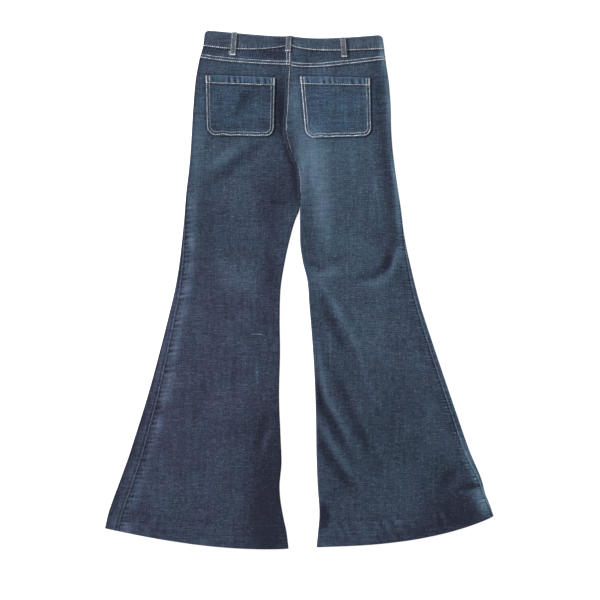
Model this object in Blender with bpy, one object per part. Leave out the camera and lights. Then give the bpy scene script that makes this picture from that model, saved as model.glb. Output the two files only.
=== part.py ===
"""Flared jeans, laid flat on a surface with the back uppermost.

Lengths here are millimetres. The garment is first laid out in its own plan, with x to
the right and y down from the top of the waistband, and is then moved so that the
origin is at the bottom centre of its box, +Y points to the waist and +Z is up.
"""
import math
from collections import namedtuple

import bpy
from mathutils import Vector
from mathutils.bvhtree import BVHTree

MM = 0.001

# Cloth
WALL = 1.2              # one layer of denim
DOUBLE_WALL = 2.4       # the turned hem and the folded waistband
SEAM_GAP = 0.3          # between pieces that are sewn together
FOLD_RADIUS = 3.2       # outside of the cloth where a leg folds at its edge
FOLD_ARC = FOLD_RADIUS * math.pi / 2
EDGE_RAMP = 45.0        # from the thick folded edge down to the middle of a leg
FORK_CLEARANCE = 0.4    # extra room between the legs, just above where they part
CROTCH_BLEND = 36.0     # length over which the centre seam becomes two inner folds
FLAT_EDGE = 14.0        # folds fade out within this distance of a folded edge
LIFT_SHARE = 0.65       # share of a lift under the front that reaches the back

# Seams
SEAM_RIDGE = 0.55       # seam allowances lift the cloth beside a seam
RIDGE_WIDTH = 9.0
RIDGE_START = 3.0       # the side seam's ridge grows once it is this far past the fold
BAND_RISE = 0.9         # the folded waistband stands above the yoke
FRONT_DIP = 25.0        # the front waist is lower than the back at the centre
SEAM_PEAK = 9.0         # the band's lower seam is drawn up this far at the centre back
CORNER = 11.0           # radius of the waistband's upper corners at the sides

# Pockets, loops, button and zip
POCKET_HEM = 16.0
POCKET_HEM_STEP = 0.9
POCKET_HEM_SLOPE = 1.5  # half of the length over which the hem's step falls
POCKET_REACH = 10.0     # a pocket rests on the highest cloth within this distance
LOOP_WIDTH = 12.0
LOOP_THICKNESS = 1.7
LOOP_EDGE = 0.5         # the folded edges of a loop are this much thinner
LOOP_ARCH = 0.9         # a loop stands off the band in its middle
LOOP_UNDER_ARCH = 0.3   # share of that arch at its underside
LOOP_SEAT = 3.0         # a loop rests on the highest cloth within this distance along it
FRONT_LOOP_LENGTH = 44.0
FRONT_LOOP_PLACE = 0.5  # share of the way from the side fold to the centre front
FRONT_LOOP_DOWN = 0.72  # share of the way down the band
BUTTON_RADIUS = 8.5
BUTTON_HEIGHT = 3.0
BUTTON_PLACE = 14.0     # from the centre front, on the right-hand end of the band
BUTTON_RINGS = ((0.80, 0.0), (0.95, 0.35), (1.0, 0.9), (1.0, 1.7), (0.92, 2.3), (0.55, BUTTON_HEIGHT))
ZIP_WIDTH = 26.0
ZIP_LENGTH = 105.0
ZIP_DROP = 6.0          # from the band's lower seam to the top of the zip
ZIP_TAPE = 0.9
ZIP_CHAIN_WIDTH = 6.0
ZIP_CHAIN_RISE = 0.6
ZIP_CHAIN_SLOPE = 0.3
ZIP_REACH = 8.0         # the zip clears the highest cloth within this distance

# Cloth that is lifted by a hard piece under it
HARD_GAP = 0.5          # the cloth stays this far above the piece
LOOP_MARGIN = 2.0       # flat top of the lift, past the piece's edges
LOOP_FALL = 22.0        # from there down to the plain cloth
BUTTON_FALL = 24.0

# Facets
GRID_STEP = 31.0        # length of one row of facets down a leg
WAIST_STEP = 11.0       # and of one near the waist, where hard pieces lift the cloth
YOKE_SHARES = (0.3, 0.55, 0.76, 1.0)    # rows down the yoke
BAND_SHARES = (0.0, 0.15, 0.55, 1.0)    # and down the waistband
YOKE_LENGTH = 26.0      # usual length of the yoke, from the band to the yoke seam
YOKE_GAP = SEAM_GAP / 24                # the seam gap as a share of the yoke's row
SEAT_GAP = SEAM_GAP / 40                # and of the row below the yoke seam
NEAR_SEAM = (0.0, 2.1, 4.2, 6.3, 8.4, 11.0, 26.0)
NEAR_INNER = (26.0, 11.0, 8.4, 5.2, 3.5, 1.8, 0.0)
NEAR_FRONT_INNER = (26.0, 18.0, 11.0, 5.2, 3.5, 1.8, 0.0)
BACK_PARTS = 9          # columns between those near the seams
FRONT_PARTS = 12
WRAP_PARTS = 3          # columns of the front that lie on the back
FOLD_PARTS = 6          # columns round the outer fold
CORNER_SHARES = (0.0, 0.08, 0.3, 0.62, 1.0)     # columns over a pocket's corner
POCKET_COLUMNS = 7
POCKET_ROWS = 8
LOOP_PARTS = 12
LOOP_SIDES = (-0.5, -0.3, 0.3, 0.5)
ZIP_PARTS = 12
BUTTON_SIDES = 24

Section = namedtuple(
    "Section", "name outer_x outer_y inner_x inner_y seam bow bow_at height")
# outer and inner: where the section meets the two edges of the leg, seen from above.
# seam: how far the side seam lies from the middle of the outer fold, up on to the back.
# bow: how far the section sags towards the hem, and bow_at the share of its width there.
# height: top of the back panel in the middle of the section.

LEFT_SECTIONS = [
    Section("waist edge", -197.5, -2, -17, 9, -3.0, 3.2, 0.75, 6.7),
    Section("waist seam", -200.8, 32, -17, 30, -3.0, 8.5, 0.55, 6.2),
    Section("yoke seam", -207.3, 56, -17, 72, -3.0, 3.5, 0.40, 5.8),
    Section("pocket top", -215.3, 98, -19, 110, -3.0, 2.0, 0.50, 6.0),
    Section("hip", -220.5, 154, -21, 161, -3.0, 0.0, 0.50, 5.9),
    Section("seat", -223.8, 207, -24, 203, -3.0, 0.0, 0.50, 5.4),
    Section("under seat", -226.3, 249, -15, 245, -2.8, 0.0, 0.50, 5.0),
    Section("crotch", -230, 291, 1, 287, -1.5, 0.0, 0.50, 4.6),
    Section("upper thigh", -235, 333, 4, 329, 1.0, 0.0, 0.50, 4.4),
    Section("fork", -238.5, 375, 1, 374, 3.5, 0.0, 0.50, 4.2),
    Section("thigh", -240.6, 400, -7, 398, 5.5, 0.0, 0.50, 4.2),
    Section("mid thigh", -244.4, 438, -18.3, 438, 8.4, 0.0, 0.50, 4.2),
    Section("knee", -249.6, 484, -28.4, 484, 11.0, 0.0, 0.50, 4.2),
    Section("below knee", -258.7, 539, -37.1, 539, 13.6, 0.0, 0.50, 4.2),
    Section("shin", -273, 600, -39.1, 600, 16.7, 0.0, 0.50, 4.2),
    Section("calf", -291, 671, -38.4, 671, 20.3, 1.0, 0.50, 4.2),
    Section("low calf", -315.4, 761, -40.4, 765, 24.6, 3.0, 0.50, 4.2),
    Section("ankle", -342.6, 849, -36.9, 860, 28.2, 6.0, 0.50, 4.4),
    Section("low ankle", -356.8, 893, -35.3, 905, 29.4, 8.0, 0.50, 4.6),
    Section("flare", -372.2, 936, -39.4, 957, 30.4, 10.0, 0.50, 4.8),
    Section("hem stitch", -394.2, 996, -27.9, 1036, 30.9, 12.0, 0.53, 5.4),
    Section("hem fold", -396.6, 1003, -26.3, 1043, 30.9, 12.3, 0.53, 6.2),
    Section("hem", -406.5, 1043, -20.5, 1085.5, 30.6, 13.3, 0.55, 6.2),
]

RIGHT_SECTIONS = [
    Section("waist edge", 177.5, 7.6, -17, 9, -3.0, 6.4, 0.64, 6.7),
    Section("waist seam", 180.5, 39, -17, 30, -3.0, 8.5, 0.68, 6.2),
    Section("yoke seam", 183, 61, -17, 72, -3.0, 7.0, 0.70, 5.8),
    Section("pocket top", 189.6, 106, -19, 110, -3.0, 3.0, 0.60, 6.0),
    Section("hip", 193.6, 156, -21, 161, -3.0, 0.0, 0.50, 5.9),
    Section("seat", 194.8, 207, -24, 203, -3.0, 0.0, 0.50, 5.4),
    Section("under seat", 197.8, 249, -15, 245, -3.0, 0.0, 0.50, 5.0),
    Section("crotch", 203, 291, 1, 287, -2.5, 0.0, 0.50, 4.6),
    Section("upper thigh", 209, 333, 4, 329, -1.2, 0.0, 0.50, 4.6),
    Section("fork", 215.4, 375, 3, 374, 1.0, 0.0, 0.50, 4.6),
    Section("thigh", 219.1, 408, 2.7, 408, 3.2, 0.0, 0.50, 4.6),
    Section("mid thigh", 226, 450, 3.7, 450, 6.2, 0.0, 0.50, 4.8),
    Section("knee", 233.4, 484, 8.9, 484, 8.8, 0.0, 0.50, 5.0),
    Section("below knee", 242.2, 522, 18.1, 522, 10.6, 0.0, 0.50, 5.0),
    Section("shin", 256.2, 576, 22.6, 576, 12.0, 0.0, 0.50, 5.0),
    Section("calf", 278.2, 644, 28.2, 644, 13.4, 1.0, 0.50, 5.2),
    Section("low calf", 304.1, 721, 33.2, 721, 13.9, 3.0, 0.50, 5.2),
    Section("ankle", 332.7, 805, 36.4, 816, 13.9, 7.0, 0.48, 5.2),
    Section("low ankle", 360, 883, 37.3, 886, 13.8, 10.0, 0.47, 5.2),
    Section("flare", 385, 943, 39.6, 950, 13.4, 13.5, 0.46, 5.2),
    Section("hem stitch", 394, 976, 43, 1027, 13.0, 16.5, 0.44, 5.6),
    Section("hem fold", 397.5, 984, 42.3, 1034, 13.0, 17.0, 0.44, 6.2),
    Section("hem", 409.5, 1017, 37.5, 1083, 12.6, 20.3, 0.42, 6.2),
]

ROW = {section.name: place for place, section in enumerate(LEFT_SECTIONS)}

Fold = namedtuple("Fold", "name path width height")
# path: its middle line, width: half of its breadth, height: up, or down if negative.

FOLDS = [
    Fold("under the left pocket", [(-64, 230), (-112, 264), (-168, 312)], 14, -2.0),
    Fold("above it", [(-96, 228), (-165, 272)], 16, 2.0),
    Fold("across the left pocket", [(-93, 121), (-131, 173)], 13, -1.6),
    Fold("beside the seat seam", [(-38, 112), (-34, 210)], 10, -1.8),
    Fold("inner thigh crease", [(-64, 360), (-20, 360)], 7, -1.2),
    Fold("left knee", [(-156, 480), (-140, 524), (-92, 536), (-84, 486)], 20, 1.4),
    Fold("left flare ridge", [(-52, 810), (-76, 890)], 12, 2.0),
    Fold("left flare trough", [(-66, 790), (-94, 900)], 14, -1.2),
    Fold("right inner thigh", [(30, 230), (50, 333), (62, 429)], 24, 2.4),
    Fold("inner knee crease", [(18, 482), (48, 497), (68, 500)], 8, -2.0),
    Fold("knee crease", [(60, 482), (100, 482)], 9, -1.4),
    Fold("under the knee crease", [(40, 512), (100, 502)], 14, 1.6),
    Fold("outer knee trough", [(197, 452), (184, 492), (164, 512), (119, 522)], 11, -3.0),
    Fold("outer knee ridge", [(214, 468), (202, 510), (168, 534), (122, 544)], 13, 2.4),
    Fold("first shin ridge", [(45, 516), (87, 589), (119, 658), (165, 774)], 12, 2.8),
    Fold("first shin trough", [(52, 570), (74, 626), (100, 676)], 12, -2.2),
    Fold("short shin trough", [(90, 612), (112, 654), (134, 694)], 11, -1.6),
    Fold("second shin ridge", [(36, 640), (60, 763), (98, 837), (121, 890)], 12, 3.0),
    Fold("second shin trough", [(68, 692), (98, 763), (123, 826), (148, 874), (171, 914)], 12, -2.6),
    Fold("third trough", [(34, 722), (49, 795), (77, 847), (124, 918)], 12, -3.2),
    Fold("third ridge", [(44, 834), (70, 893), (102, 935), (132, 978)], 12, 3.0),
    Fold("fourth trough", [(42, 868), (60, 925), (98, 963), (122, 988)], 13, -3.0),
    Fold("outer flare trough", [(333, 918), (317, 938), (300, 958)], 12, -2.4),
    Fold("hem kink", [(338, 944), (374, 955)], 9, -1.6),
]

Pocket = namedtuple("Pocket", "name top_left top_right bottom_right bottom_left corner")
POCKETS = [
    Pocket("pocket_left", (-195, 92), (-49, 97), (-52, 221), (-192, 218), 19),
    Pocket("pocket_right", (3, 94), (150, 98), (153, 220), (15, 224), 19),
]

Loop = namedtuple("Loop", "name top bottom")
BACK_LOOPS = [
    Loop("belt_loop_back_left", (-134, 2.5), (-138, 51)),
    Loop("belt_loop_back_centre", (-20, 10.5), (-22, 43)),
    Loop("belt_loop_back_right", (93, 13.5), (96, 55)),
]

Bump = namedtuple("Bump", "x y half_width half_length fall height")
# A hard piece under the front of the garment lifts the cloth above it.

DENIM = (0.030, 0.050, 0.098)
FADED_DENIM = (0.048, 0.085, 0.135)
BRASS = (0.50, 0.36, 0.17)
ZIP_METAL = (0.42, 0.36, 0.26)


def smooth(value):
    """Ease from 0 to 1 with flat ends."""
    share = min(1.0, max(0.0, value))
    return share * share * (3.0 - 2.0 * share)


def distance_to_path(x, y, path):
    """Shortest distance from a plan point to a chain of straight runs."""
    best = math.inf
    for (x0, y0), (x1, y1) in zip(path, path[1:]):
        run_x, run_y = x1 - x0, y1 - y0
        share = ((x - x0) * run_x + (y - y0) * run_y) / (run_x ** 2 + run_y ** 2)
        share = min(1.0, max(0.0, share))
        best = min(best, math.hypot(x - x0 - share * run_x, y - y0 - share * run_y))
    return best


def fold_height(x, y):
    """How far the folds lift or lower the back of the garment at a plan point."""
    total = 0.0
    for fold in FOLDS:
        distance = distance_to_path(x, y, fold.path)
        if distance < 3.0 * fold.width:
            total += fold.height * math.exp(-(distance / fold.width) ** 2)
    return total


def front_drop(station):
    """How much lower the centre front lies than the centre back, at the same station."""
    body = FRONT_DIP * (1 - smooth(station / ROW["crotch"]))
    return body + SEAM_PEAK * smooth(station) * (1 - smooth((station - 1) / 3))


class Leg:
    """One half of the garment as a flattened tube, from the waist to the hem."""

    def __init__(self, sections):
        """Keep the table, and each column's slope at every row."""
        self.sections = sections
        self.bumps = []
        outer = [(row.outer_x, row.outer_y) for row in sections]
        inner = [(row.inner_x, row.inner_y) for row in sections]
        middle = [((a + c) / 2, (b + d) / 2) for (a, b), (c, d) in zip(outer, inner)]
        self.slopes = {}
        self.spans = {}
        for name in Section._fields[1:]:
            chain = {"outer": outer, "inner": inner}.get(name.split("_")[0], middle)
            spans = [math.dist(start, end) for start, end in zip(chain, chain[1:])]
            column = [getattr(row, name) for row in sections]
            steep = [(end - start) / span for start, end, span in zip(column, column[1:], spans)]
            within = [
                (steep[row] * spans[row + 1] + steep[row + 1] * spans[row]) / (spans[row] + spans[row + 1])
                for row in range(len(spans) - 1)]
            self.slopes[name] = [steep[0], *within, steep[-1]]
            self.spans[name] = spans

    def value(self, name, station):
        """Smooth value of a column of the section table, between its rows."""
        first = min(int(station), len(self.sections) - 2)
        share = station - first
        start = getattr(self.sections[first], name)
        end = getattr(self.sections[first + 1], name)
        slope_in, slope_out = self.slopes[name][first:first + 2]
        square = share * share
        cube = square * share
        bend = (cube - 2 * square + share) * slope_in + (cube - square) * slope_out
        straight = (2 * cube - 3 * square + 1) * start + (3 * square - 2 * cube) * end
        return straight + self.spans[name][first] * bend

    def width(self, station):
        """Flat width of the leg at a station."""
        across = self.value("inner_x", station) - self.value("outer_x", station)
        down = self.value("inner_y", station) - self.value("outer_y", station)
        return math.hypot(across, down)

    def inner_sweep(self, station):
        """How far the cloth turns down at the inner edge: none above the crotch."""
        start = self.sections[ROW["crotch"]].inner_y
        down = self.value("inner_y", station) - start
        return math.pi / 2 * smooth(down / CROTCH_BLEND)

    def inner_reach(self, station):
        """Distance to the inner edge of the cloth, which stays clear of the other leg."""
        near_fork = smooth(station - ROW["upper thigh"]) * smooth(ROW["fork"] + 2 - station)
        return self.width(station) - SEAM_GAP / 2 - FORK_CLEARANCE * near_fork

    def half_length(self, station):
        """Length of cloth from the middle of the outer fold to the inner edge."""
        sweep = self.inner_sweep(station)
        flat = self.inner_reach(station) - FOLD_RADIUS * (1 + math.sin(sweep))
        return FOLD_ARC + flat + FOLD_RADIUS * sweep

    def inner_end(self, station):
        """Length of cloth to the inner edge of one panel, short of its inseam."""
        sweep = self.inner_sweep(station)
        return self.half_length(station) - SEAM_GAP / 2 * sweep / (math.pi / 2)

    def lift(self, x, y):
        """Height that the hard pieces under the front give to the cloth above them."""
        total = 0.0
        for bump in self.bumps:
            across = smooth(1 - (abs(x - bump.x) - bump.half_width) / bump.fall)
            down = smooth(1 - (abs(y - bump.y) - bump.half_length) / bump.fall)
            total = max(total, bump.height * across * down)
        return total

    def place(self, station, reach, on_front=False):
        """Plan point at a distance from the outer edge of the leg."""
        width = self.width(station)
        share = reach / width
        x = self.value("outer_x", station)
        y = self.value("outer_y", station)
        x += (self.value("inner_x", station) - x) * share
        y += (self.value("inner_y", station) - y) * share
        peak = 2 * self.value("bow_at", station)
        inside = min(1.0, max(0.0, share))
        hump = inside ** peak * (1 - inside) ** (2 - peak)
        top = (peak / 2) ** peak * (1 - peak / 2) ** (2 - peak)
        sag = self.value("bow", station) * hump / top
        if on_front:
            sag = sag * smooth(station / ROW["crotch"]) + front_drop(station) * smooth(inside)
        into = min(CORNER, max(0.0, CORNER - reach))
        rounding = CORNER - math.sqrt(CORNER ** 2 - into ** 2)
        return x, y + sag + rounding * max(0.0, 1 - station)

    def top(self, station, reach, x, y):
        """Height of the back of the garment above the surface."""
        width = self.width(station)
        middle = self.value("height", station)
        edge = 2 * FOLD_RADIUS
        inner_edge = middle + (edge - middle) * self.inner_sweep(station) / (math.pi / 2)
        from_outer = reach - FOLD_RADIUS
        from_inner = width - FOLD_RADIUS - reach
        height = middle + (edge - middle) * (1 - smooth(from_outer / EDGE_RAMP))
        height += (inner_edge - middle) * (1 - smooth(from_inner / EDGE_RAMP))
        room = smooth(from_outer / FLAT_EDGE)
        if station > ROW["crotch"]:
            room *= smooth(from_inner / FLAT_EDGE)
        return height + room * fold_height(x, y) + LIFT_SHARE * self.lift(x, y)

    def point(self, station, along, depth=0.0):
        """Point of the cloth at a length round the leg from the middle of its outer fold.

        A positive length is on the back and a negative one on the front. The depth
        is measured inwards from the outside of the cloth.
        """
        sweep = self.inner_sweep(station)
        inner_start = self.inner_reach(station) - FOLD_RADIUS * math.sin(sweep)
        flat = inner_start - FOLD_RADIUS
        run = abs(along)
        upward = 1.0 if along > 0 else -1.0
        drop = 0.0
        if run < FOLD_ARC:
            angle = run / FOLD_RADIUS
            reach = FOLD_RADIUS * (1 - math.cos(angle))
            drop = FOLD_RADIUS * (1 - math.sin(angle))
            normal = (-math.cos(angle), upward * math.sin(angle))
            base_reach = FOLD_RADIUS
        elif run <= FOLD_ARC + flat:
            reach = FOLD_RADIUS + run - FOLD_ARC
            normal = (0.0, upward)
            base_reach = reach
        else:
            angle = (run - FOLD_ARC - flat) / FOLD_RADIUS
            reach = inner_start + FOLD_RADIUS * math.sin(angle)
            drop = FOLD_RADIUS * (1 - math.cos(angle))
            normal = (math.sin(angle), upward * math.cos(angle))
            base_reach = inner_start
        on_front = along < 0
        x, y = self.place(station, reach - normal[0] * depth, on_front)
        base_x, base_y = self.place(station, base_reach, on_front)
        if on_front:
            z = self.lift(base_x, base_y) + drop
        else:
            z = self.top(station, base_reach, base_x, base_y) - drop
        return Vector((x, y, z - normal[1] * depth))


def wall_at(station):
    """Thickness of a leg's cloth, which is doubled below the hem stitching."""
    share = smooth(station - ROW["hem stitch"])
    return WALL + (DOUBLE_WALL - WALL) * share


def stations(start, end):
    """Stations from one row of the table to another, the same on both legs."""
    found = [float(start)]
    for row in range(start, end):
        if row == ROW["waist seam"]:
            found.extend(row + share for share in YOKE_SHARES)
            continue
        upper = LEFT_SECTIONS[row]
        lower = LEFT_SECTIONS[row + 1]
        length = (lower.outer_y + lower.inner_y - upper.outer_y - upper.inner_y) / 2
        parts = max(1, round(length / (WAIST_STEP if row < ROW["hip"] else GRID_STEP)))
        found.extend(row + (part + 1) / parts for part in range(parts))
    return found


def between(start, end, parts):
    """Equal steps from one length to another, without either end."""
    return [start + (end - start) * part / parts for part in range(1, parts)]


def back_columns(leg, station):
    """Lengths round the back of a leg, close together at its folds and seams."""
    start = leg.value("seam", station) + SEAM_GAP / 2
    end = leg.inner_end(station)
    near_seam = [start + gap for gap in NEAR_SEAM]
    near_inner = [end - gap for gap in NEAR_INNER]
    return near_seam + between(near_seam[-1], near_inner[0], BACK_PARTS) + near_inner


def front_columns(leg, station):
    """Lengths round the front of a leg, from the side seam to its inner edge."""
    start = leg.value("seam", station) - SEAM_GAP / 2
    turn = min(FOLD_ARC, 0.6 * start - 1.5)
    end = -leg.inner_end(station)
    on_back = [start, *between(start, turn, WRAP_PARTS)]
    round_fold = [turn, *between(turn, -FOLD_ARC, FOLD_PARTS), -FOLD_ARC]
    near_inner = [end + gap for gap in NEAR_FRONT_INNER]
    return on_back + round_fold + between(-FOLD_ARC, near_inner[0], FRONT_PARTS) + near_inner


def seam_ridge(distance):
    """Thickness that folded seam allowances add at a distance from their seam."""
    return SEAM_RIDGE * smooth(2.5 - 2.5 * max(0.0, distance) / RIDGE_WIDTH)


def make_shell(outside, inside):
    """Closed solid between two grids of points of the same shape."""
    rows, columns = len(outside), len(outside[0])
    points = [point for grid in (outside, inside) for row in grid for point in row]
    offset = rows * columns
    faces = []
    for row in range(rows - 1):
        for column in range(columns - 1):
            a = row * columns + column
            quad = (a, a + 1, a + columns + 1, a + columns)
            faces.append(quad)
            faces.append(tuple(offset + corner for corner in reversed(quad)))
    for column in range(columns - 1):
        last = (rows - 1) * columns
        faces.append((column + 1, column, offset + column, offset + column + 1))
        a = last + column
        faces.append((a, a + 1, offset + a + 1, offset + a))
    for row in range(rows - 1):
        a, b = row * columns, (row + 1) * columns
        faces.append((a, b, offset + b))
        faces.append((a, offset + b, offset + a))
        a, b = a + columns - 1, b + columns - 1
        faces.append((b, a, offset + b))
        faces.append((offset + b, a, offset + a))
    return points, faces


def back_panel(leg, is_left):
    """Back of one leg, from the yoke seam to the hem."""
    outside, inside = [], []
    for station in stations(ROW["yoke seam"], ROW["hem"]):
        shifted = station
        if station == ROW["yoke seam"]:
            shifted = station + SEAT_GAP
        columns = back_columns(leg, shifted)
        first, last = columns[0], columns[-1]
        wall = wall_at(shifted)
        centre_seam = is_left and station < ROW["crotch"]
        outer_row, inner_row = [], []
        for along in columns:
            rise = seam_ridge(along - first) * smooth((first - FOLD_ARC) / RIDGE_START)
            if centre_seam:
                rise = max(rise, seam_ridge(last - along))
            outer_row.append(leg.point(shifted, along, -rise))
            inner_row.append(leg.point(shifted, along, wall))
        outside.append(outer_row)
        inside.append(inner_row)
    return make_shell(outside, inside)


def front_panel(leg):
    """Front of one leg, from the waistband to the hem, round the outer fold."""
    outside, inside = [], []
    for station in stations(ROW["waist seam"], ROW["hem"]):
        shifted = station
        if station == ROW["waist seam"]:
            shifted = station + YOKE_GAP
        wall = wall_at(shifted)
        columns = front_columns(leg, shifted)
        outside.append([leg.point(shifted, along) for along in columns])
        inside.append([leg.point(shifted, along, wall) for along in columns])
    return make_shell(outside, inside)


def yoke_panel(leg, is_left):
    """Narrow yoke between the waistband and the back, raised along its lower seam."""
    start, end = ROW["waist seam"], ROW["yoke seam"]
    outside, inside = [], []
    for share in (YOKE_GAP, *YOKE_SHARES):
        station = start + share
        columns = back_columns(leg, station)
        below = (end - station) * YOKE_LENGTH
        outer_row, inner_row = [], []
        for along in columns:
            rise = seam_ridge(below)
            if is_left:
                rise = max(rise, seam_ridge(columns[-1] - along))
            outer_row.append(leg.point(station, along, -rise * smooth(along / FOLD_ARC)))
            inner_row.append(leg.point(station, along, WALL))
        outside.append(outer_row)
        inside.append(inner_row)
    return make_shell(outside, inside)


def waistband(left, right):
    """Folded band all round the waist, its ends meeting at the centre front."""
    outside, inside = [], []
    for station in BAND_SHARES:
        outer_row, inner_row = [], []
        for leg, is_left in ((left, True), (right, False)):
            columns = front_columns(leg, station)[::-1] + back_columns(leg, station)
            if not is_left:
                columns.reverse()
            for along in columns:
                rise = BAND_RISE * smooth(along / FOLD_ARC)
                outer_row.append(leg.point(station, along, -rise))
                inner_row.append(leg.point(station, along, DOUBLE_WALL - rise))
        outside.append(outer_row)
        inside.append(inner_row)
    return make_shell(outside, inside)


def surface_under(trees, x, y, reach_x, reach_y):
    """Highest cloth near a plan point, seen from above."""
    highest = -math.inf
    for share_x in (-1.0, -0.5, 0.0, 0.5, 1.0):
        for share_y in (-1.0, 0.0, 1.0):
            above = Vector((x + share_x * reach_x, y + share_y * reach_y, 60.0))
            hits = [tree.ray_cast(above, Vector((0, 0, -1)))[0] for tree in trees]
            highest = max([highest] + [hit.z for hit in hits if hit is not None])
    return highest


def patch_pocket(pocket, trees):
    """Patch pocket on the seat: a turned hem at its mouth and round lower corners."""
    width = math.dist(pocket.top_left, pocket.top_right)
    height = math.dist(pocket.top_left, pocket.bottom_left)
    corner = pocket.corner
    rounding = [share * corner for share in CORNER_SHARES]
    middle = between(corner, width - corner, POCKET_COLUMNS)
    across = rounding + middle + [width - gap for gap in reversed(rounding)]
    below_hem = POCKET_HEM + POCKET_HEM_SLOPE
    down = [0.0, POCKET_HEM - POCKET_HEM_SLOPE, below_hem]
    down += [*between(below_hem, height, POCKET_ROWS), height]
    outside, inside = [], []
    for drop in down:
        outer_row, inner_row = [], []
        for reach in across:
            into_corner = max(0.0, corner - min(reach, width - reach))
            cut = corner - math.sqrt(max(0.0, corner ** 2 - into_corner ** 2))
            share_down = drop / height * (1 - cut / height)
            share_across = reach / width
            left = Vector(pocket.top_left).lerp(Vector(pocket.bottom_left), share_down)
            right = Vector(pocket.top_right).lerp(Vector(pocket.bottom_right), share_down)
            spot = left.lerp(right, share_across)
            seat = surface_under(trees, spot.x, spot.y, POCKET_REACH, POCKET_REACH) + SEAM_GAP
            thick = WALL + (POCKET_HEM_STEP if drop < POCKET_HEM else 0.0)
            outer_row.append(Vector((spot.x, spot.y, seat + thick)))
            inner_row.append(Vector((spot.x, spot.y, seat)))
        outside.append(outer_row)
        inside.append(inner_row)
    return make_shell(outside, inside)


def back_loop(loop, trees):
    """Belt loop over the waistband and on to the yoke, sewn down at both ends."""
    outside, inside = [], []
    for part in range(LOOP_PARTS + 1):
        share = part / LOOP_PARTS
        x = loop.top[0] + (loop.bottom[0] - loop.top[0]) * share
        y = loop.top[1] + (loop.bottom[1] - loop.top[1]) * share
        seat = surface_under(trees, x, y, LOOP_WIDTH / 2, LOOP_SEAT) + SEAM_GAP
        arch = LOOP_ARCH * math.sin(math.pi * share)
        outer_row, inner_row = [], []
        for side in LOOP_SIDES:
            crown = LOOP_THICKNESS - (LOOP_EDGE if abs(side) == 0.5 else 0.0)
            outer_row.append(Vector((x + side * LOOP_WIDTH, y, seat + arch + crown)))
            inner_row.append(Vector((x + side * LOOP_WIDTH, y, seat + arch * LOOP_UNDER_ARCH)))
        outside.append(outer_row)
        inside.append(inner_row)
    return make_shell(outside, inside)


def front_loop(x, y):
    """Belt loop on the front waistband, pressed flat against the surface below."""
    half = FRONT_LOOP_LENGTH / 2
    outside, inside = [], []
    for down in (-half, half):
        outside.append([Vector((x + side, y + down, 0.0)) for side in (-LOOP_WIDTH / 2, LOOP_WIDTH / 2)])
        inside.append([point + Vector((0, 0, LOOP_THICKNESS)) for point in outside[-1]])
    return make_shell(outside, inside)


def waist_button(x, y):
    """Cap of the waist button, face down, with a rounded rim."""
    sides = BUTTON_SIDES
    points = []
    for share, z in BUTTON_RINGS:
        for side in range(sides):
            angle = 2 * math.pi * side / sides
            radius = BUTTON_RADIUS * share
            points.append(Vector((x + radius * math.cos(angle), y + radius * math.sin(angle), z)))
    faces = [tuple(range(sides)), tuple(reversed(range(len(points) - sides, len(points))))]
    for ring in range(len(BUTTON_RINGS) - 1):
        for side in range(sides):
            a = ring * sides + side
            b = ring * sides + (side + 1) % sides
            faces.append((a, a + sides, b + sides, b))
    return points, faces


def fly_zip(leg, start_y):
    """Closed zip behind the centre front seam: woven tape and a raised row of teeth."""
    outside, inside = [], []
    half, chain = ZIP_WIDTH / 2, ZIP_CHAIN_WIDTH / 2
    for part in range(ZIP_PARTS + 1):
        y = start_y + ZIP_LENGTH * part / ZIP_PARTS
        centre = centre_front_x(leg, y)
        outer_row, inner_row = [], []
        foot = chain + ZIP_CHAIN_SLOPE
        for side in (-half, -foot, -chain, chain, foot, half):
            x = centre + side
            seat = max(leg.lift(x + step, y) for step in (-ZIP_REACH, 0, ZIP_REACH)) + WALL + SEAM_GAP
            thick = ZIP_TAPE + (ZIP_CHAIN_RISE if abs(side) <= chain else 0.0)
            outer_row.append(Vector((x, y, seat + thick)))
            inner_row.append(Vector((x, y, seat)))
        outside.append(outer_row)
        inside.append(inner_row)
    return make_shell(outside, inside)


def centre_front_x(leg, y):
    """Where the centre front seam lies at a distance down from the waist."""
    low, high = 0.0, float(ROW["crotch"])
    for _ in range(30):
        station = (low + high) / 2
        seam = leg.point(station, -leg.half_length(station))
        if seam.y < y:
            low = station
        else:
            high = station
    return seam.x


def front_place(leg, station, share):
    """Plan point on the front waistband, at a share of the way to the centre front."""
    half = leg.half_length(station)
    spot = leg.point(station, -(FOLD_ARC + (half - FOLD_ARC) * share))
    return spot.x, spot.y


def outward(points, faces):
    """Faces turned so that the solid they close has a positive volume."""
    volume = 0.0
    for face in faces:
        a = points[face[0]]
        for second, third in zip(face[1:], face[2:]):
            volume += a.dot(points[second].cross(points[third]))
    return faces if volume > 0 else [tuple(reversed(face)) for face in faces]


def make_material(name, colour, roughness, metallic):
    """Plain Principled material for one sub-part."""
    material = bpy.data.materials.new(name)
    material.use_nodes = True
    shader = material.node_tree.nodes["Principled BSDF"]
    shader.inputs["Base Color"].default_value = (*colour, 1.0)
    shader.inputs["Roughness"].default_value = roughness
    shader.inputs["Metallic"].default_value = metallic
    return material


def make_object(name, points, faces, finish):
    """One sub-part as a named object, in metres."""
    mesh = bpy.data.meshes.new(name)
    mesh.from_pydata([point * MM for point in points], [], outward(points, faces))
    mesh.materials.append(make_material(name, *finish))
    mesh.shade_smooth()
    mesh.set_sharp_from_angle(angle=math.radians(35))
    bpy.context.scene.collection.objects.link(bpy.data.objects.new(name, mesh))


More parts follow.
